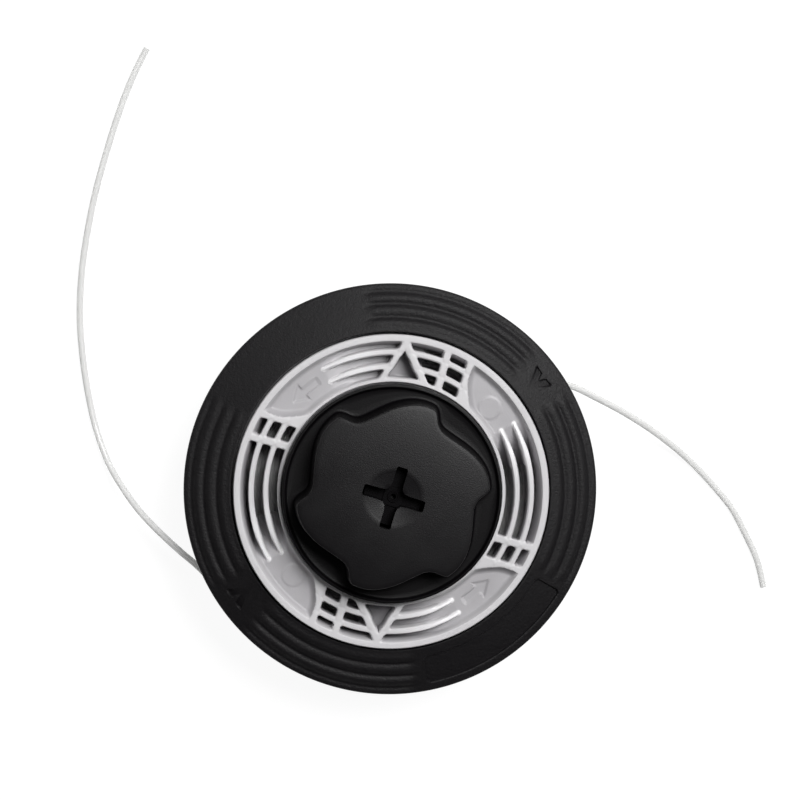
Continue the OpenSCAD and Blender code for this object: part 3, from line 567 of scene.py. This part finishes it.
def flange_bars(r, u, slant, with_triangle):
    """Distances into the raised bars and into the rims alone, and how far the place is a rib."""
    x, y = polar(r, u)
    arc = math.radians(1) * r
    land = min((u - wall_angle(r)) * arc * slant, beside(x, y, LAND_LINE))
    rims = max(r - RIM_IN_R, INNER_RIM_R - r)
    bars = rounded_max(rims, land, CORNER_ROUND)
    bars = rounded_max(bars, CROSSBAR_HALF - abs(beside(x, y, CROSSBAR_LINE)), CORNER_ROUND)
    hole = 0
    if with_triangle:
        hole = into_polygon(x, y, HOLE_CORNERS)
        bars = rounded_max(bars, min(into_polygon(x, y, FRAME_CORNERS), -hole), CORNER_ROUND)
    half = RIB_HALF - (RIB_HALF - RIB_END_HALF) * smooth((u - RIB_FALL_START) / (RIB_END - RIB_FALL_START))
    past = max(u - RIB_END, 0) * arc
    rib = max(half - math.hypot(r - rib_r, past) for rib_r in RIB_RADII)
    if with_triangle:
        rib = min(rib, -hole)
    weight = smooth((rib - bars) / RIB_BLEND + 0.5) if rib > -RIB_MARGIN else 0
    return rounded_max(bars, rib, CORNER_ROUND), rims, weight


def into_arrow(r, u, middle):
    """Distance into the arrow on the floor: a shaft and a head, bent round the axis."""
    arc = math.radians(1) * middle
    along = (u - ARROW_TAIL) * arc
    across = abs(r - middle)
    neck = (ARROW_NECK - ARROW_TAIL) * arc
    head_length = (ARROW_TIP - ARROW_NECK) * arc
    shaft = min(along, neck + ARROW_OVERLAP - along, ARROW_SHAFT_HALF - across)
    side = (neck + head_length - along) * ARROW_HEAD_HALF - across * head_length
    return max(shaft, min(along - neck, side / math.hypot(ARROW_HEAD_HALF, head_length)))


def into_floor_mark(r, u, kind):
    """Distance into the arrow or the round mark on the smooth floor."""
    middle = (INNER_RIM_R + RIM_IN_R) / 2
    if kind == 0:
        return into_arrow(r, u, middle)
    x, y = polar(r, u - DISC_ANGLE)
    return DISC_R - math.hypot(x - middle + DISC_INSET, y)


def flange_floor(r, u, slant, kind, mark):
    """Height of the ramp and the smooth floor, with the fillet up to the next quarter's wall."""
    share = clamp((u - RAMP_STARTS[kind]) / (RAMP_END - RAMP_STARTS[kind]))
    z = RAMP_LOWS[kind] + (FLOOR_Z - RAMP_LOWS[kind]) * (2 * share + smooth(share)) / 3
    z += (DISC_RELIEF if kind else -ARROW_DEPTH) * smooth(mark / MARK_EDGE + 0.5)
    to_wall = (QUARTER + wall_angle(r) - u) * math.radians(1) * r * slant
    lift = (1 - clamp(to_wall / WALL_FILLET)) ** 2
    return z + (FLANGE_TOP - EDGE_ROUND - z) * lift


def flange_cell(r, angle):
    """Distances into the plastic, the bars and the floor's mark, heights above and below, and the painted
    light and shade with wear.
    """
    number, u = quarter_place(r, angle)
    kind = number % 2
    arc = math.radians(1) * r
    step = 0.05
    sweep = (wall_angle(r + step) - wall_angle(r - step)) / (2 * step) * arc
    slant = 1 / math.hypot(1, sweep)
    bars, rims, rib = flange_bars(r, u, slant, kind == 0)
    past_start = (u - RAMP_STARTS[kind]) * arc
    plastic = max(rounded_max(bars, r - RIM_IN_R + SKIRT_W, CORNER_ROUND), past_start)
    ramp = smooth(past_start / RAMP_EDGE + 1)
    mark = into_floor_mark(r, u, kind)
    floor = ramp * flange_floor(r, u, slant, kind, mark) + (1 - ramp) * (GRID_FOOT_Z + GRID_LIFT)
    fall = clamp((u - RIB_FALL_START) / (RIB_END - RIB_FALL_START)) ** 2
    top = FLANGE_TOP - rib * (RIB_DROP + RIB_END_DROP * fall)
    edge = min(r - FLANGE_BORE_R, FLANGE_R - r)
    fillet = 0
    if bars >= 0:
        z = top - quarter_round(bars, EDGE_ROUND) - quarter_round(edge, EDGE_ROUND)
    else:
        growth = smooth((u - FILLET_START) / (RIB_END - FILLET_START))
        fillet = growth * (1 - clamp(-rims / FLOOR_FILLET)) ** 2
        z = floor + max(top - EDGE_ROUND - floor, 0) * max((1 - clamp(-bars / WALL_FOOT)) ** 2, fillet)
        z = max(z, FLANGE_TOP - EDGE_ROUND - (RIM_IN_R - r) * SKIRT_DROP / SKIRT_W)
    rim = smooth((rims + RIM_BLEND) / RIM_BLEND)
    under = (1 - ramp) * GRID_FOOT_Z + ramp * (min(floor, FLOOR_Z) - PLATE_THICKNESS)
    under = rim * FLANGE_Z + (1 - rim) * under
    # Painted light: the bars lighter than the floors, and the ribs whiter towards their ends, a painted
    # highlight along with wear
    painted_light_and_wear = LAND_PAINTED_LIGHT + (1 - LAND_PAINTED_LIGHT) * rib * smooth((u - RIB_HIGHLIGHT_AND_WEAR_START) / (RIB_END - RIB_HIGHLIGHT_AND_WEAR_START))
    painted_light_and_wear *= max(clamp(bars / EDGE_ROUND + 1), fillet)
    # Painted shade: darker the deeper the surface lies below the floor, fully in the triangle's quarters and
    # in part in the others
    painted_light_and_wear -= PAINTED_SHADE_SHARES[kind] * clamp((FLOOR_Z - PAINTED_SHADE_START - z) / PAINTED_SHADE_DEPTH)
    return (plastic, bars, mark), z, under, painted_light_and_wear


def snapped(r, angle, cell):
    """Moves a point that is nearly on an edge of the plastic or the bars onto that edge."""
    edges = flange_cell(r, angle)[0]
    which = min(range(3), key=lambda k: abs(edges[k]))
    if abs(edges[which]) > SNAP_SHARE * cell:
        return r, angle
    turn = math.degrees(SNAP_STEP / r)

    def rise(spot_a, spot_b):
        return (flange_cell(*spot_b)[0][which] - flange_cell(*spot_a)[0][which]) / (2 * SNAP_STEP)

    across = rise((r - SNAP_STEP, angle), (r + SNAP_STEP, angle))
    along = rise((r, angle - turn), (r, angle + turn))
    steep = across * across + along * along
    if not SNAP_STEEP[0] < steep < SNAP_STEEP[1]:
        return r, angle
    return r - edges[which] * across / steep, angle - math.degrees(edges[which] * along / steep / r)


def make_spool_flange(material):
    rows, steps = FLANGE_ROWS, FLANGE_STEPS
    cell = (FLANGE_R - FLANGE_BORE_R) / rows
    place = []
    for j in range(rows + 1):
        r = FLANGE_BORE_R + cell * j
        inside = 0 < j < rows
        place.append([snapped(r, 360 * i / steps, cell) if inside else (r, 360 * i / steps)
                      for i in range(steps)])
    found = [[flange_cell(*spot) for spot in row] for row in place]
    top = [[(*polar(*spot), values[1]) for spot, values in zip(*pair)] for pair in zip(place, found)]
    under = [[(*polar(*spot), values[2]) for spot, values in zip(*pair)] for pair in zip(place, found)]
    outer = [(FLANGE_R, SEAT_Z + SEAT_ROOT), (FLANGE_R + SEAT_ROOT, SEAT_Z),
             (SEAT_R - SEAT_CHAMFER, SEAT_Z), (SEAT_R, SEAT_Z - SEAT_CHAMFER),
             (SEAT_R, FLANGE_Z + BREAK), (SEAT_R - BREAK, FLANGE_Z)]
    inner = [(BARREL_FIT_R + BREAK, FLANGE_Z), (BARREL_FIT_R, FLANGE_Z + BREAK),
             (BARREL_FIT_R, WEB_Z - BREAK), (BARREL_FIT_R + BREAK, WEB_Z),
             (COLLAR_R - BREAK, WEB_Z), (COLLAR_R, WEB_Z + BREAK),
             (COLLAR_R, COLLAR_Z - BREAK), (COLLAR_R + BREAK, COLLAR_Z), (FLANGE_BORE_R, COLLAR_Z)]
    rings = top + [turned_ring(r, z, steps) for r, z in outer]
    rings += under[::-1] + [turned_ring(r, z, steps) for r, z in inner]
    under_start = rows + 1 + len(outer)

    def is_open(j, i):
        n = (i + 1) % steps
        corners = [found[row][step][0][0] for row in (j, j + 1) for step in (i, n)]
        return sum(corners) < 0 and min(corners) < -OPEN_MARGIN

    opened = {(j, i) for j in range(rows) for i in range(steps) if is_open(j, i)}
    skipped = opened | {(under_start + rows - 1 - j, i) for j, i in opened}
    points, faces = loop_mesh(rings, skipped)

    def upper(j, i):
        return j * steps + i % steps

    def lower(j, i):
        return (under_start + rows - j) * steps + i % steps

    for j, i in sorted(opened):
        if (j - 1, i) not in opened:
            faces.append((upper(j, i + 1), upper(j, i), lower(j, i), lower(j, i + 1)))
        if (j + 1, i) not in opened:
            faces.append((upper(j + 1, i), upper(j + 1, i + 1), lower(j + 1, i + 1), lower(j + 1, i)))
        if (j, (i - 1) % steps) not in opened:
            faces.append((upper(j, i), upper(j + 1, i), lower(j + 1, i), lower(j, i)))
        if (j, (i + 1) % steps) not in opened:
            faces.append((upper(j + 1, i + 1), upper(j, i + 1), lower(j, i + 1), lower(j + 1, i + 1)))
    painted_light_and_wear = [values[3] for row in found for values in row]
    # Painted shade on the outer wall, the underside and the bore: points past the top grid get a dark value
    painted_light_and_wear += [WALL_PAINTED_SHADE] * (len(points) - len(painted_light_and_wear))
    make_piece("flange_ring", points, faces, material, "spool_set", "spool_flange", painted_light_and_wear)


def lobe_radius(angle):
    """Radius of the lobed grip: a steep face, a short crest, then a long fall to the valley."""
    pitch = 360 / LOBE_COUNT
    q = (angle - LOBE_TURN + LOBE_RISE / 2) % pitch
    if q < LOBE_RISE:
        share = smooth(q / LOBE_RISE)
    else:
        share = 1 - smooth((q - LOBE_RISE - LOBE_CREST) / (pitch - LOBE_RISE - LOBE_CREST - LOBE_VALLEY))
    return LOBE_MIN + (LOBE_MAX - LOBE_MIN) * share


def moved_outline(outline, distance):
    """Radius, as a function of the angle, of a lobed outline moved out by a distance or inwards."""
    reach = abs(distance)
    span = math.degrees(math.asin(reach / LOBE_MIN))
    tries = 32
    count = KNOB_STEPS // LOBE_COUNT
    radii = []
    for i in range(count):
        ends = []
        for k in range(-tries, tries + 1):
            turn = span * k / tries
            x, y = polar(outline(360 * i / KNOB_STEPS + turn), turn)
            if abs(y) <= reach:
                ends.append(x + math.copysign(math.sqrt(reach * reach - y * y), distance))
        radii.append(max(ends) if distance > 0 else min(ends))

    def moved(angle):
        steps = angle * KNOB_STEPS / 360
        i = math.floor(steps)
        return radii[i % count] + (radii[(i + 1) % count] - radii[i % count]) * (steps - i)

    return moved


# The lobes with their crests rounded by a move in and out, and their notches by one out and in
LOBE_OUTLINE = moved_outline(moved_outline(lobe_radius, -CREST_ROUND), CREST_ROUND + NOTCH_ROUND)
LOBE_OUTLINE = moved_outline(LOBE_OUTLINE, -NOTCH_ROUND)


def lobe_ring(distance):
    """Plan of the lobed outline moved out by a distance, or inwards by a negative one."""
    outline = moved_outline(LOBE_OUTLINE, distance)
    angles = [360 * i / KNOB_STEPS for i in range(KNOB_STEPS)]
    return [polar(outline(angle), angle) for angle in angles]


def circle_ring(radius):
    return [polar(radius, 360 * i / KNOB_STEPS) for i in range(KNOB_STEPS)]


def between(ring_a, ring_b, share):
    return [(a[0] + (b[0] - a[0]) * share, a[1] + (b[1] - a[1]) * share) for a, b in zip(ring_a, ring_b)]


def at_height(ring, z):
    return [(x, y, z) for x, y in ring]


def on_dome(ring, drop=0):
    return [(x, y, KNOB_TOP - DOME_RISE * (math.hypot(x, y) / LOBE_MAX) ** DOME_POWER - drop)
            for x, y in ring]


def turned_rings(section):
    return [at_height(circle_ring(r), z) for r, z in section]


def cap_rings():
    """Well over the screw, cap with its ring, mouth and cone, from the well's floor outwards."""
    cone_foot = KNOB_TOP - CONE_DEPTH
    ring_top = CAP_TOP_Z + CAP_RING_H
    ring_in_r = CAP_RING_R - CAP_RING_W
    rings = turned_rings([
        (WELL_R, WELL_Z), (WELL_R, CAP_UNDER_Z), (CAP_HOLE_R, CAP_UNDER_Z),
        (CAP_HOLE_R, CAP_TOP_Z - KNOB_BREAK), (CAP_HOLE_R + KNOB_BREAK, CAP_TOP_Z),
        (ring_in_r, CAP_TOP_Z), (ring_in_r + KNOB_BREAK, ring_top),
        (CAP_RING_R - KNOB_BREAK, ring_top), (CAP_RING_R, ring_top - KNOB_BREAK), (CAP_RING_R, CAP_TOP_Z),
        (MOUTH_R - KNOB_BREAK, CAP_TOP_Z), (MOUTH_R, CAP_TOP_Z + KNOB_BREAK),
        (MOUTH_R, cone_foot - CONE_EDGE)])
    return rings + turned_rings(
        (MOUTH_R + (CONE_R - MOUTH_R) * share, cone_foot + CONE_DEPTH * share - KNOB_BREAK)
        for share in (0.03, 0.3, 0.6, 0.9, 0.97))


def grip_rings():
    """Dome, rounded edge, lobed wall and its foot."""
    inner = circle_ring(CONE_R + CONE_EDGE)
    edge = lobe_ring(-GRIP_EDGE)
    rings = [on_dome(between(inner, edge, share / 14)) for share in range(15)]
    for turn in (25, 50, 75):
        a = math.radians(turn)
        rings.append(on_dome(lobe_ring(GRIP_EDGE * (math.sin(a) - 1)), GRIP_EDGE * (1 - math.cos(a))))
    wall_top_z = KNOB_TOP - DOME_RISE - GRIP_EDGE
    wall_foot_z = KNOB_FLOOR_Z + GRIP_FOOT
    for share in (0.02, 0.5, 1):
        z = wall_top_z + (wall_foot_z - wall_top_z) * share
        rings.append(at_height(lobe_ring(GRIP_DRAFT * share), z))
    for turn in (30, 60, 90):
        a = math.radians(turn)
        rings.append(at_height(lobe_ring(GRIP_DRAFT + GRIP_FOOT * (1 - math.cos(a))),
                               KNOB_FLOOR_Z + GRIP_FOOT * (1 - math.sin(a))))
    return rings


def cup_rings():
    """Floor of the cup, its rim, and the hollow underside with the screw tube."""
    cup_r = KNOB_R - KNOB_RIM_WALL
    foot = lobe_ring(GRIP_DRAFT + GRIP_FOOT)
    floor_edge = circle_ring(cup_r + CUP_FLOOR_EDGE)
    rings = [at_height(between(foot, floor_edge, share), KNOB_FLOOR_Z) for share in (0.33, 0.67, 1)]
    rim_h = KNOB_RIM_Z - KNOB_FLOOR_Z
    rings += turned_rings((cup_r + x, KNOB_FLOOR_Z + rim_h * share) for x, share in CUP_CURVE)
    rings += turned_rings([
        (KNOB_R - KNOB_RIM_ROUND, KNOB_RIM_Z), (KNOB_R - KNOB_BREAK, KNOB_RIM_Z - KNOB_BREAK),
        (KNOB_R, KNOB_RIM_Z - KNOB_RIM_ROUND), (KNOB_R, KNOB_Z + BREAK), (KNOB_R - BREAK, KNOB_Z),
        (cup_r, KNOB_Z), (cup_r, KNOB_FLOOR_UNDER_Z)])
    hollow = lobe_ring(-GRIP_WALL)
    ceiling_z = KNOB_TOP - DOME_RISE - GRIP_WALL
    rings += [at_height(hollow, KNOB_FLOOR_UNDER_Z), at_height(hollow, ceiling_z)]
    rings += turned_rings([
        (TUBE_R, ceiling_z), (TUBE_R, KNOB_Z), (SPIGOT_R, KNOB_Z), (SPIGOT_R, SPIGOT_TOP_Z),
        (SCREW_HOLE_R, SPIGOT_TOP_Z), (SCREW_HOLE_R, WELL_Z)])
    return rings


def cross_cutter():
    """Four bars with bevelled ends round the well, as the space of the cross slot."""
    side = [(CROSS_START, CROSS_SHOULDER), (CROSS_START + CROSS_TAPER, CROSS_HALF),
            (CROSS_REACH - CROSS_BEVEL, CROSS_HALF), (CROSS_REACH, CROSS_HALF - CROSS_BEVEL)]
    plan = [(x, -y) for x, y in side] + side[::-1]
    n = len(plan)
    points, faces = [], []
    for arm in range(4):
        first = len(points)
        corners = [polar(math.hypot(x, y), math.degrees(math.atan2(y, x)) + CROSS_ANGLE + arm * 90)
                   for x, y in plan]
        points += [(x * MM, y * MM, z * MM) for z in (CROSS_FOOT_Z, KNOB_TOP + 1) for x, y in corners]
        faces += [tuple(first + k for k in reversed(range(n))), tuple(first + n + k for k in range(n))]
        for k in range(n):
            m = (k + 1) % n
            faces.append((first + k, first + m, first + n + m, first + n + k))
    mesh = bpy.data.meshes.new("cross_space")
    mesh.from_pydata(points, [], faces)
    cutter = bpy.data.objects.new("cross_space", mesh)
    bpy.context.scene.collection.objects.link(cutter)
    return cutter


def make_knob(material):
    """Knob with the cross slot cut into its mesh once, so that no modifier stays on it."""
    points, faces = loop_mesh(cap_rings() + grip_rings() + cup_rings())
    knob = make_piece("tap_knob", points, faces, material, "spool_set", "knob")
    cutter = cross_cutter()
    cut = knob.modifiers.new("cross_slot", "BOOLEAN")
    cut.operation = "DIFFERENCE"
    cut.solver = "EXACT"
    cut.object = cutter
    bpy.context.view_layer.update()
    evaluated = knob.evaluated_get(bpy.context.evaluated_depsgraph_get())
    result = bpy.data.meshes.new_from_object(evaluated)
    knob.modifiers.clear()
    knob.data = result
    result.set_sharp_from_angle(angle=math.radians(SHARP_ANGLE))
    bpy.data.objects.remove(cutter)


def larger_of(nodes, links, a, b):
    node = nodes.new("ShaderNodeMath")
    node.operation = "MAXIMUM"
    links.new(a, node.inputs[0])
    links.new(b, node.inputs[1])
    return node.outputs[0]


def mix_shaders(nodes, links, factor, first, second):
    node = nodes.new("ShaderNodeMixShader")
    for socket, output in zip(node.inputs, (factor, first, second)):
        links.new(output, socket)
    return node.outputs[0]


class Shader:
    """A node material, with short calls for the few nodes that the materials share."""

    def __init__(self, name, color, roughness, **sockets):
        self.material = bpy.data.materials.new(name)
        self.material.use_nodes = True
        self.nodes = self.material.node_tree.nodes
        self.links = self.material.node_tree.links
        self.surface = self.nodes["Principled BSDF"]
        self.surface.inputs["Base Color"].default_value = (*color, 1)
        self.surface.inputs["Roughness"].default_value = roughness
        for socket, value in sockets.items():
            self.surface.inputs[socket.replace("_", " ")].default_value = value
        self.place = self.nodes.new("ShaderNodeTexCoord").outputs["Object"]

    def noise(self, scale, detail=2):
        node = self.nodes.new("ShaderNodeTexNoise")
        node.inputs["Scale"].default_value = scale
        node.inputs["Detail"].default_value = detail
        self.links.new(self.place, node.inputs["Vector"])
        return node.outputs["Fac"]

    def ramp(self, value, low, high, out_low, out_high):
        node = self.nodes.new("ShaderNodeMapRange")
        node.inputs["From Min"].default_value = low
        node.inputs["From Max"].default_value = high
        node.inputs["To Min"].default_value = out_low
        node.inputs["To Max"].default_value = out_high
        self.links.new(value, node.inputs["Value"])
        return node.outputs["Result"]

    def spread(self, value, out_low, out_high):
        """A noise's value over its usual range."""
        return self.ramp(value, NOISE_LOW, NOISE_HIGH, out_low, out_high)

    def color_between(self, factor, color_a, color_b):
        """Mixes two colours as the base colour; the first may be the mix of an earlier call."""
        node = self.nodes.new("ShaderNodeMix")
        node.data_type = "RGBA"
        if isinstance(color_a, tuple):
            node.inputs[MIX_A].default_value = (*color_a, 1)
        else:
            self.links.new(color_a, node.inputs[MIX_A])
        node.inputs[MIX_B].default_value = (*color_b, 1)
        self.links.new(factor, node.inputs["Factor"])
        self.links.new(node.outputs[MIX_OUT], self.surface.inputs["Base Color"])
        return node.outputs[MIX_OUT]

    def rough(self, value):
        self.links.new(value, self.surface.inputs["Roughness"])

    def bump(self, *heights):
        """Adds bumps one on another; each height is (value, depth in metres)."""
        normal = None
        for value, depth in heights:
            node = self.nodes.new("ShaderNodeBump")
            node.inputs["Strength"].default_value = 1
            node.inputs["Distance"].default_value = depth
            self.links.new(value, node.inputs["Height"])
            if normal:
                self.links.new(normal, node.inputs["Normal"])
            normal = node.outputs["Normal"]
        self.links.new(normal, self.surface.inputs["Normal"])


def grained_black():
    """Base ring: black plastic with a fine spark-eroded grain."""
    s = Shader("ring_plastic", (0.003, 0.0023, 0.0032), 0.58, Specular_IOR_Level=0.3)
    grain = s.noise(2600, detail=3)
    patches = s.noise(180, detail=3)
    s.color_between(s.spread(patches, 0, 1), (0.0024, 0.0018, 0.0026), (0.0036, 0.0029, 0.0038))
    s.rough(s.spread(grain, 0.50, 0.64))
    s.bump((grain, 0.00012), (s.noise(1100), 0.0001))
    return s.material


def satin_black():
    """Knob: black plastic. The cup, the grip's walls and the slot are darker and duller as painted shade, and
    the lobed top has more sheen.
    """
    s = Shader("knob_plastic", (0.004, 0.0035, 0.0042), 0.42)
    fine = s.noise(3000)
    cloud = s.noise(90, detail=4)
    split = s.nodes.new("ShaderNodeSeparateXYZ")
    s.links.new(s.place, split.inputs[0])
    height = split.outputs["Z"]
    tone_before_shade = s.color_between(s.ramp(cloud, 0.35, 0.65, 0, 1), (0.0036, 0.0031, 0.0038), (0.0048, 0.0043, 0.005))
    # Painted shade: below this height the colour turns darker
    s.color_between(s.ramp(height, *KNOB_SHADE_Z, 1, 0), tone_before_shade, (0.0022, 0.0018, 0.0023))
    flat = s.nodes.new("ShaderNodeCombineXYZ")
    s.links.new(split.outputs["X"], flat.inputs["X"])
    s.links.new(split.outputs["Y"], flat.inputs["Y"])
    reach = s.nodes.new("ShaderNodeVectorMath")
    reach.operation = "LENGTH"
    s.links.new(flat.outputs[0], reach.inputs[0])
    # Painted shade: less specular inside the slot's radius and below the top, so that the slot reads black
    sheen = larger_of(s.nodes, s.links, s.ramp(reach.outputs["Value"], *KNOB_SHADE_R, 0.05, 0.14),
                      s.ramp(height, *KNOB_SHADE_Z, 0, 0.25))
    s.links.new(sheen, s.surface.inputs["Specular IOR Level"])
    s.rough(s.spread(cloud, 0.42, 0.48))
    s.bump((fine, 0.00005))
    return s.material


def housing_black():
    s = Shader("black_plastic", (0.012, 0.0115, 0.0122), 0.48)
    grain = s.noise(1500)
    s.rough(s.spread(s.noise(120, detail=3), 0.42, 0.55))
    s.color_between(s.spread(grain, 0, 1), (0.011, 0.0105, 0.0112), (0.014, 0.0135, 0.0142))
    s.bump((grain, 0.00004))
    return s.material


def light_grey():
    """Spool flange: grey satin plastic. Painted light makes the rims and bars lighter than the floors, the
    rib ends are whitest as a painted highlight along with wear, and painted shade darkens the walls and deep
    places.
    """
    s = Shader("light_plastic", (0.60, 0.59, 0.605), 0.45)
    flow = s.noise(70, detail=4)
    grey = s.color_between(s.spread(flow, 0, 1), (0.37, 0.36, 0.374), (0.42, 0.41, 0.424))
    painted_light_and_wear = s.nodes.new("ShaderNodeAttribute")
    painted_light_and_wear.attribute_name = "painted_light_and_wear"
    # Painted light: positive values lighten towards white (the bars, and the rib ends as a painted highlight
    # along with wear)
    tone_before_shade = s.color_between(s.ramp(painted_light_and_wear.outputs["Fac"], 0, 1, 0, 1), grey, (0.90, 0.89, 0.90))
    # Painted shade: values below zero darken towards near-black
    s.color_between(s.ramp(painted_light_and_wear.outputs["Fac"], -1, 0, 1, 0), tone_before_shade, (0.07, 0.068, 0.072))
    s.rough(s.spread(s.noise(300, detail=3), 0.38, 0.52))
    s.bump((s.noise(2400), 0.00003))
    return s.material


def natural_nylon():
    """Inner moulded pieces: undyed plastic."""
    s = Shader("natural_plastic", (0.72, 0.70, 0.63), 0.5)
    cloud = s.noise(130, detail=3)
    s.color_between(s.spread(cloud, 0, 1), (0.68, 0.66, 0.59), (0.76, 0.74, 0.67))
    s.bump((s.noise(1800), 0.00002))
    return s.material


def clear_line():
    """Mowing line: translucent extruded nylon, faintly drawn out along its length."""
    s = Shader("nylon_line", (0.93, 0.93, 0.92), 0.22, Transmission_Weight=0.35, IOR=1.53)
    s.rough(s.spread(s.noise(300), 0.16, 0.24))
    s.bump((s.noise(500, detail=1), 0.00001))
    return s.material


def plated_steel():
    s = Shader("steel", (0.55, 0.56, 0.58), 0.32, Metallic=1.0)
    s.rough(s.spread(s.noise(500, detail=4), 0.26, 0.42))
    s.bump((s.noise(2200), 0.00001))
    return s.material


def drawn_wire():
    s = Shader("spring_steel", (0.42, 0.42, 0.43), 0.35, Metallic=1.0)
    s.rough(s.spread(s.noise(700, detail=3), 0.28, 0.45))
    s.bump((s.noise(1800), 0.00001))
    return s.material


def black_oxide():
    s = Shader("dark_steel", (0.012, 0.012, 0.0125), 0.7, Specular_IOR_Level=0.2)
    s.rough(s.spread(s.noise(900, detail=3), 0.62, 0.78))
    s.bump((s.noise(2000), 0.00001))
    return s.material


def turned_aluminium():
    s = Shader("eyelet_metal", (0.72, 0.73, 0.75), 0.28, Metallic=1.0)
    s.rough(s.spread(s.noise(800, detail=3), 0.22, 0.38))
    s.bump((s.noise(2600), 0.00001))
    return s.material


def winding_painted_dark():
    """Winding: the line's colour painted grey as painted shade between the flanges, with a tone that varies
    at random.
    """
    s = Shader("line_winding", (0.37, 0.37, 0.37), 0.45, Specular_IOR_Level=0.3)
    s.color_between(s.spread(s.noise(400, detail=3), 0, 1), (0.34, 0.34, 0.34), (0.40, 0.40, 0.40))
    s.rough(s.spread(s.noise(600, detail=3), 0.38, 0.52))
    s.bump((s.noise(1200), 0.00002))
    return s.material


def dress_nodes(materials):
    """Gives each CAD node the material of its slot in the record."""
    for row in frame["record"]["subparts"]:
        node = frame["nodes"][row["node"]]
        material = materials[row["material_slot"]]
        # The winding gets a darker material than the line's slot: painted shade
        if row["node"] == "line_winding":
            material = materials["winding_painted_dark"]
        node.data.materials.clear()
        node.data.materials.append(material)


def make_floor():
    """Pale floor at the hub face; it looks white and keeps the head's shadow."""
    mesh = bpy.data.meshes.new("floor")
    corners = [(x * FLOOR_HALF, y * FLOOR_HALF, -FLOOR_GAP) for x, y in ((-1, -1), (1, -1), (1, 1), (-1, 1))]
    mesh.from_pydata(corners, [], [(0, 1, 2, 3)])
    floor = bpy.data.objects.new("floor", mesh)
    bpy.context.scene.collection.objects.link(floor)
    material = bpy.data.materials.new("floor")
    material.use_nodes = True
    nodes, links = material.node_tree.nodes, material.node_tree.links
    nodes.clear()
    path = nodes.new("ShaderNodeLightPath")
    seen = larger_of(nodes, links, path.outputs["Is Camera Ray"], path.outputs["Is Glossy Ray"])
    seen_or_through = larger_of(nodes, links, seen, path.outputs["Is Transmission Ray"])
    matte = nodes.new("ShaderNodeBsdfDiffuse")
    matte.inputs["Color"].default_value = (0.8, 0.8, 0.8, 1)
    glow = nodes.new("ShaderNodeEmission")
    glow.inputs["Strength"].default_value = FLOOR_GLOW
    shadow_part = nodes.new("ShaderNodeBsdfDiffuse")
    shadow_part.inputs["Color"].default_value = (FLOOR_SHADOW, FLOOR_SHADOW, FLOOR_SHADOW, 1)
    white = nodes.new("ShaderNodeAddShader")
    links.new(glow.outputs[0], white.inputs[0])
    links.new(shadow_part.outputs[0], white.inputs[1])
    output = nodes.new("ShaderNodeOutputMaterial")
    links.new(mix_shaders(nodes, links, seen_or_through, matte.outputs[0], white.outputs[0]),
              output.inputs["Surface"])
    mesh.materials.append(material)


def make_world():
    """Even light that the camera sees as pure white."""
    world = bpy.data.worlds.new("studio")
    bpy.context.scene.world = world
    world.use_nodes = True
    nodes, links = world.node_tree.nodes, world.node_tree.links
    back = nodes["Background"]
    back.inputs["Color"].default_value = (1, 1, 1, 1)
    back.inputs["Strength"].default_value = WORLD_LIGHT
    path = nodes.new("ShaderNodeLightPath")
    shown = nodes.new("ShaderNodeBackground")
    shown.inputs["Color"].default_value = (1, 1, 1, 1)
    shown.inputs["Strength"].default_value = 1
    links.new(mix_shaders(nodes, links, path.outputs["Is Camera Ray"], back.outputs[0], shown.outputs[0]),
              nodes["World Output"].inputs["Surface"])


def make_lights():
    for name, place, size, power in SOFTBOXES:
        data = bpy.data.lights.new(name, "AREA")
        data.shape = "SQUARE"
        data.size = size
        data.energy = power
        lamp = bpy.data.objects.new(name, data)
        bpy.context.scene.collection.objects.link(lamp)
        lamp.location = place
        lamp.rotation_euler = Vector(place).to_track_quat("Z", "Y").to_euler()


def main():
    bpy.context.scene.view_settings.view_transform = "Standard"
    make_camera()
    line = clear_line()
    right = make_tail("tail_right", OUTLET_ANGLE, RIGHT_ROUTE, line)
    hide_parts("line_tail_right")
    left = make_tail("tail_left", OUTLET_ANGLE + 180, LEFT_ROUTE, line)
    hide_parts("line_tail_left")
    materials = {
        "ring_plastic": grained_black(), "knob_plastic": satin_black(),
        "black_plastic": housing_black(), "light_plastic": light_grey(),
        "natural_plastic": natural_nylon(), "nylon_line": line, "winding_painted_dark": winding_painted_dark(),
        "steel": plated_steel(), "spring_steel": drawn_wire(), "dark_steel": black_oxide(),
        "eyelet_metal": turned_aluminium()}
    dress_nodes(materials)
    make_winding(materials["winding_painted_dark"])
    make_base_ring(materials["ring_plastic"])
    make_spool_flange(materials["light_plastic"])
    make_knob(materials["knob_plastic"])
    make_floor()
    make_world()
    make_lights()


main()
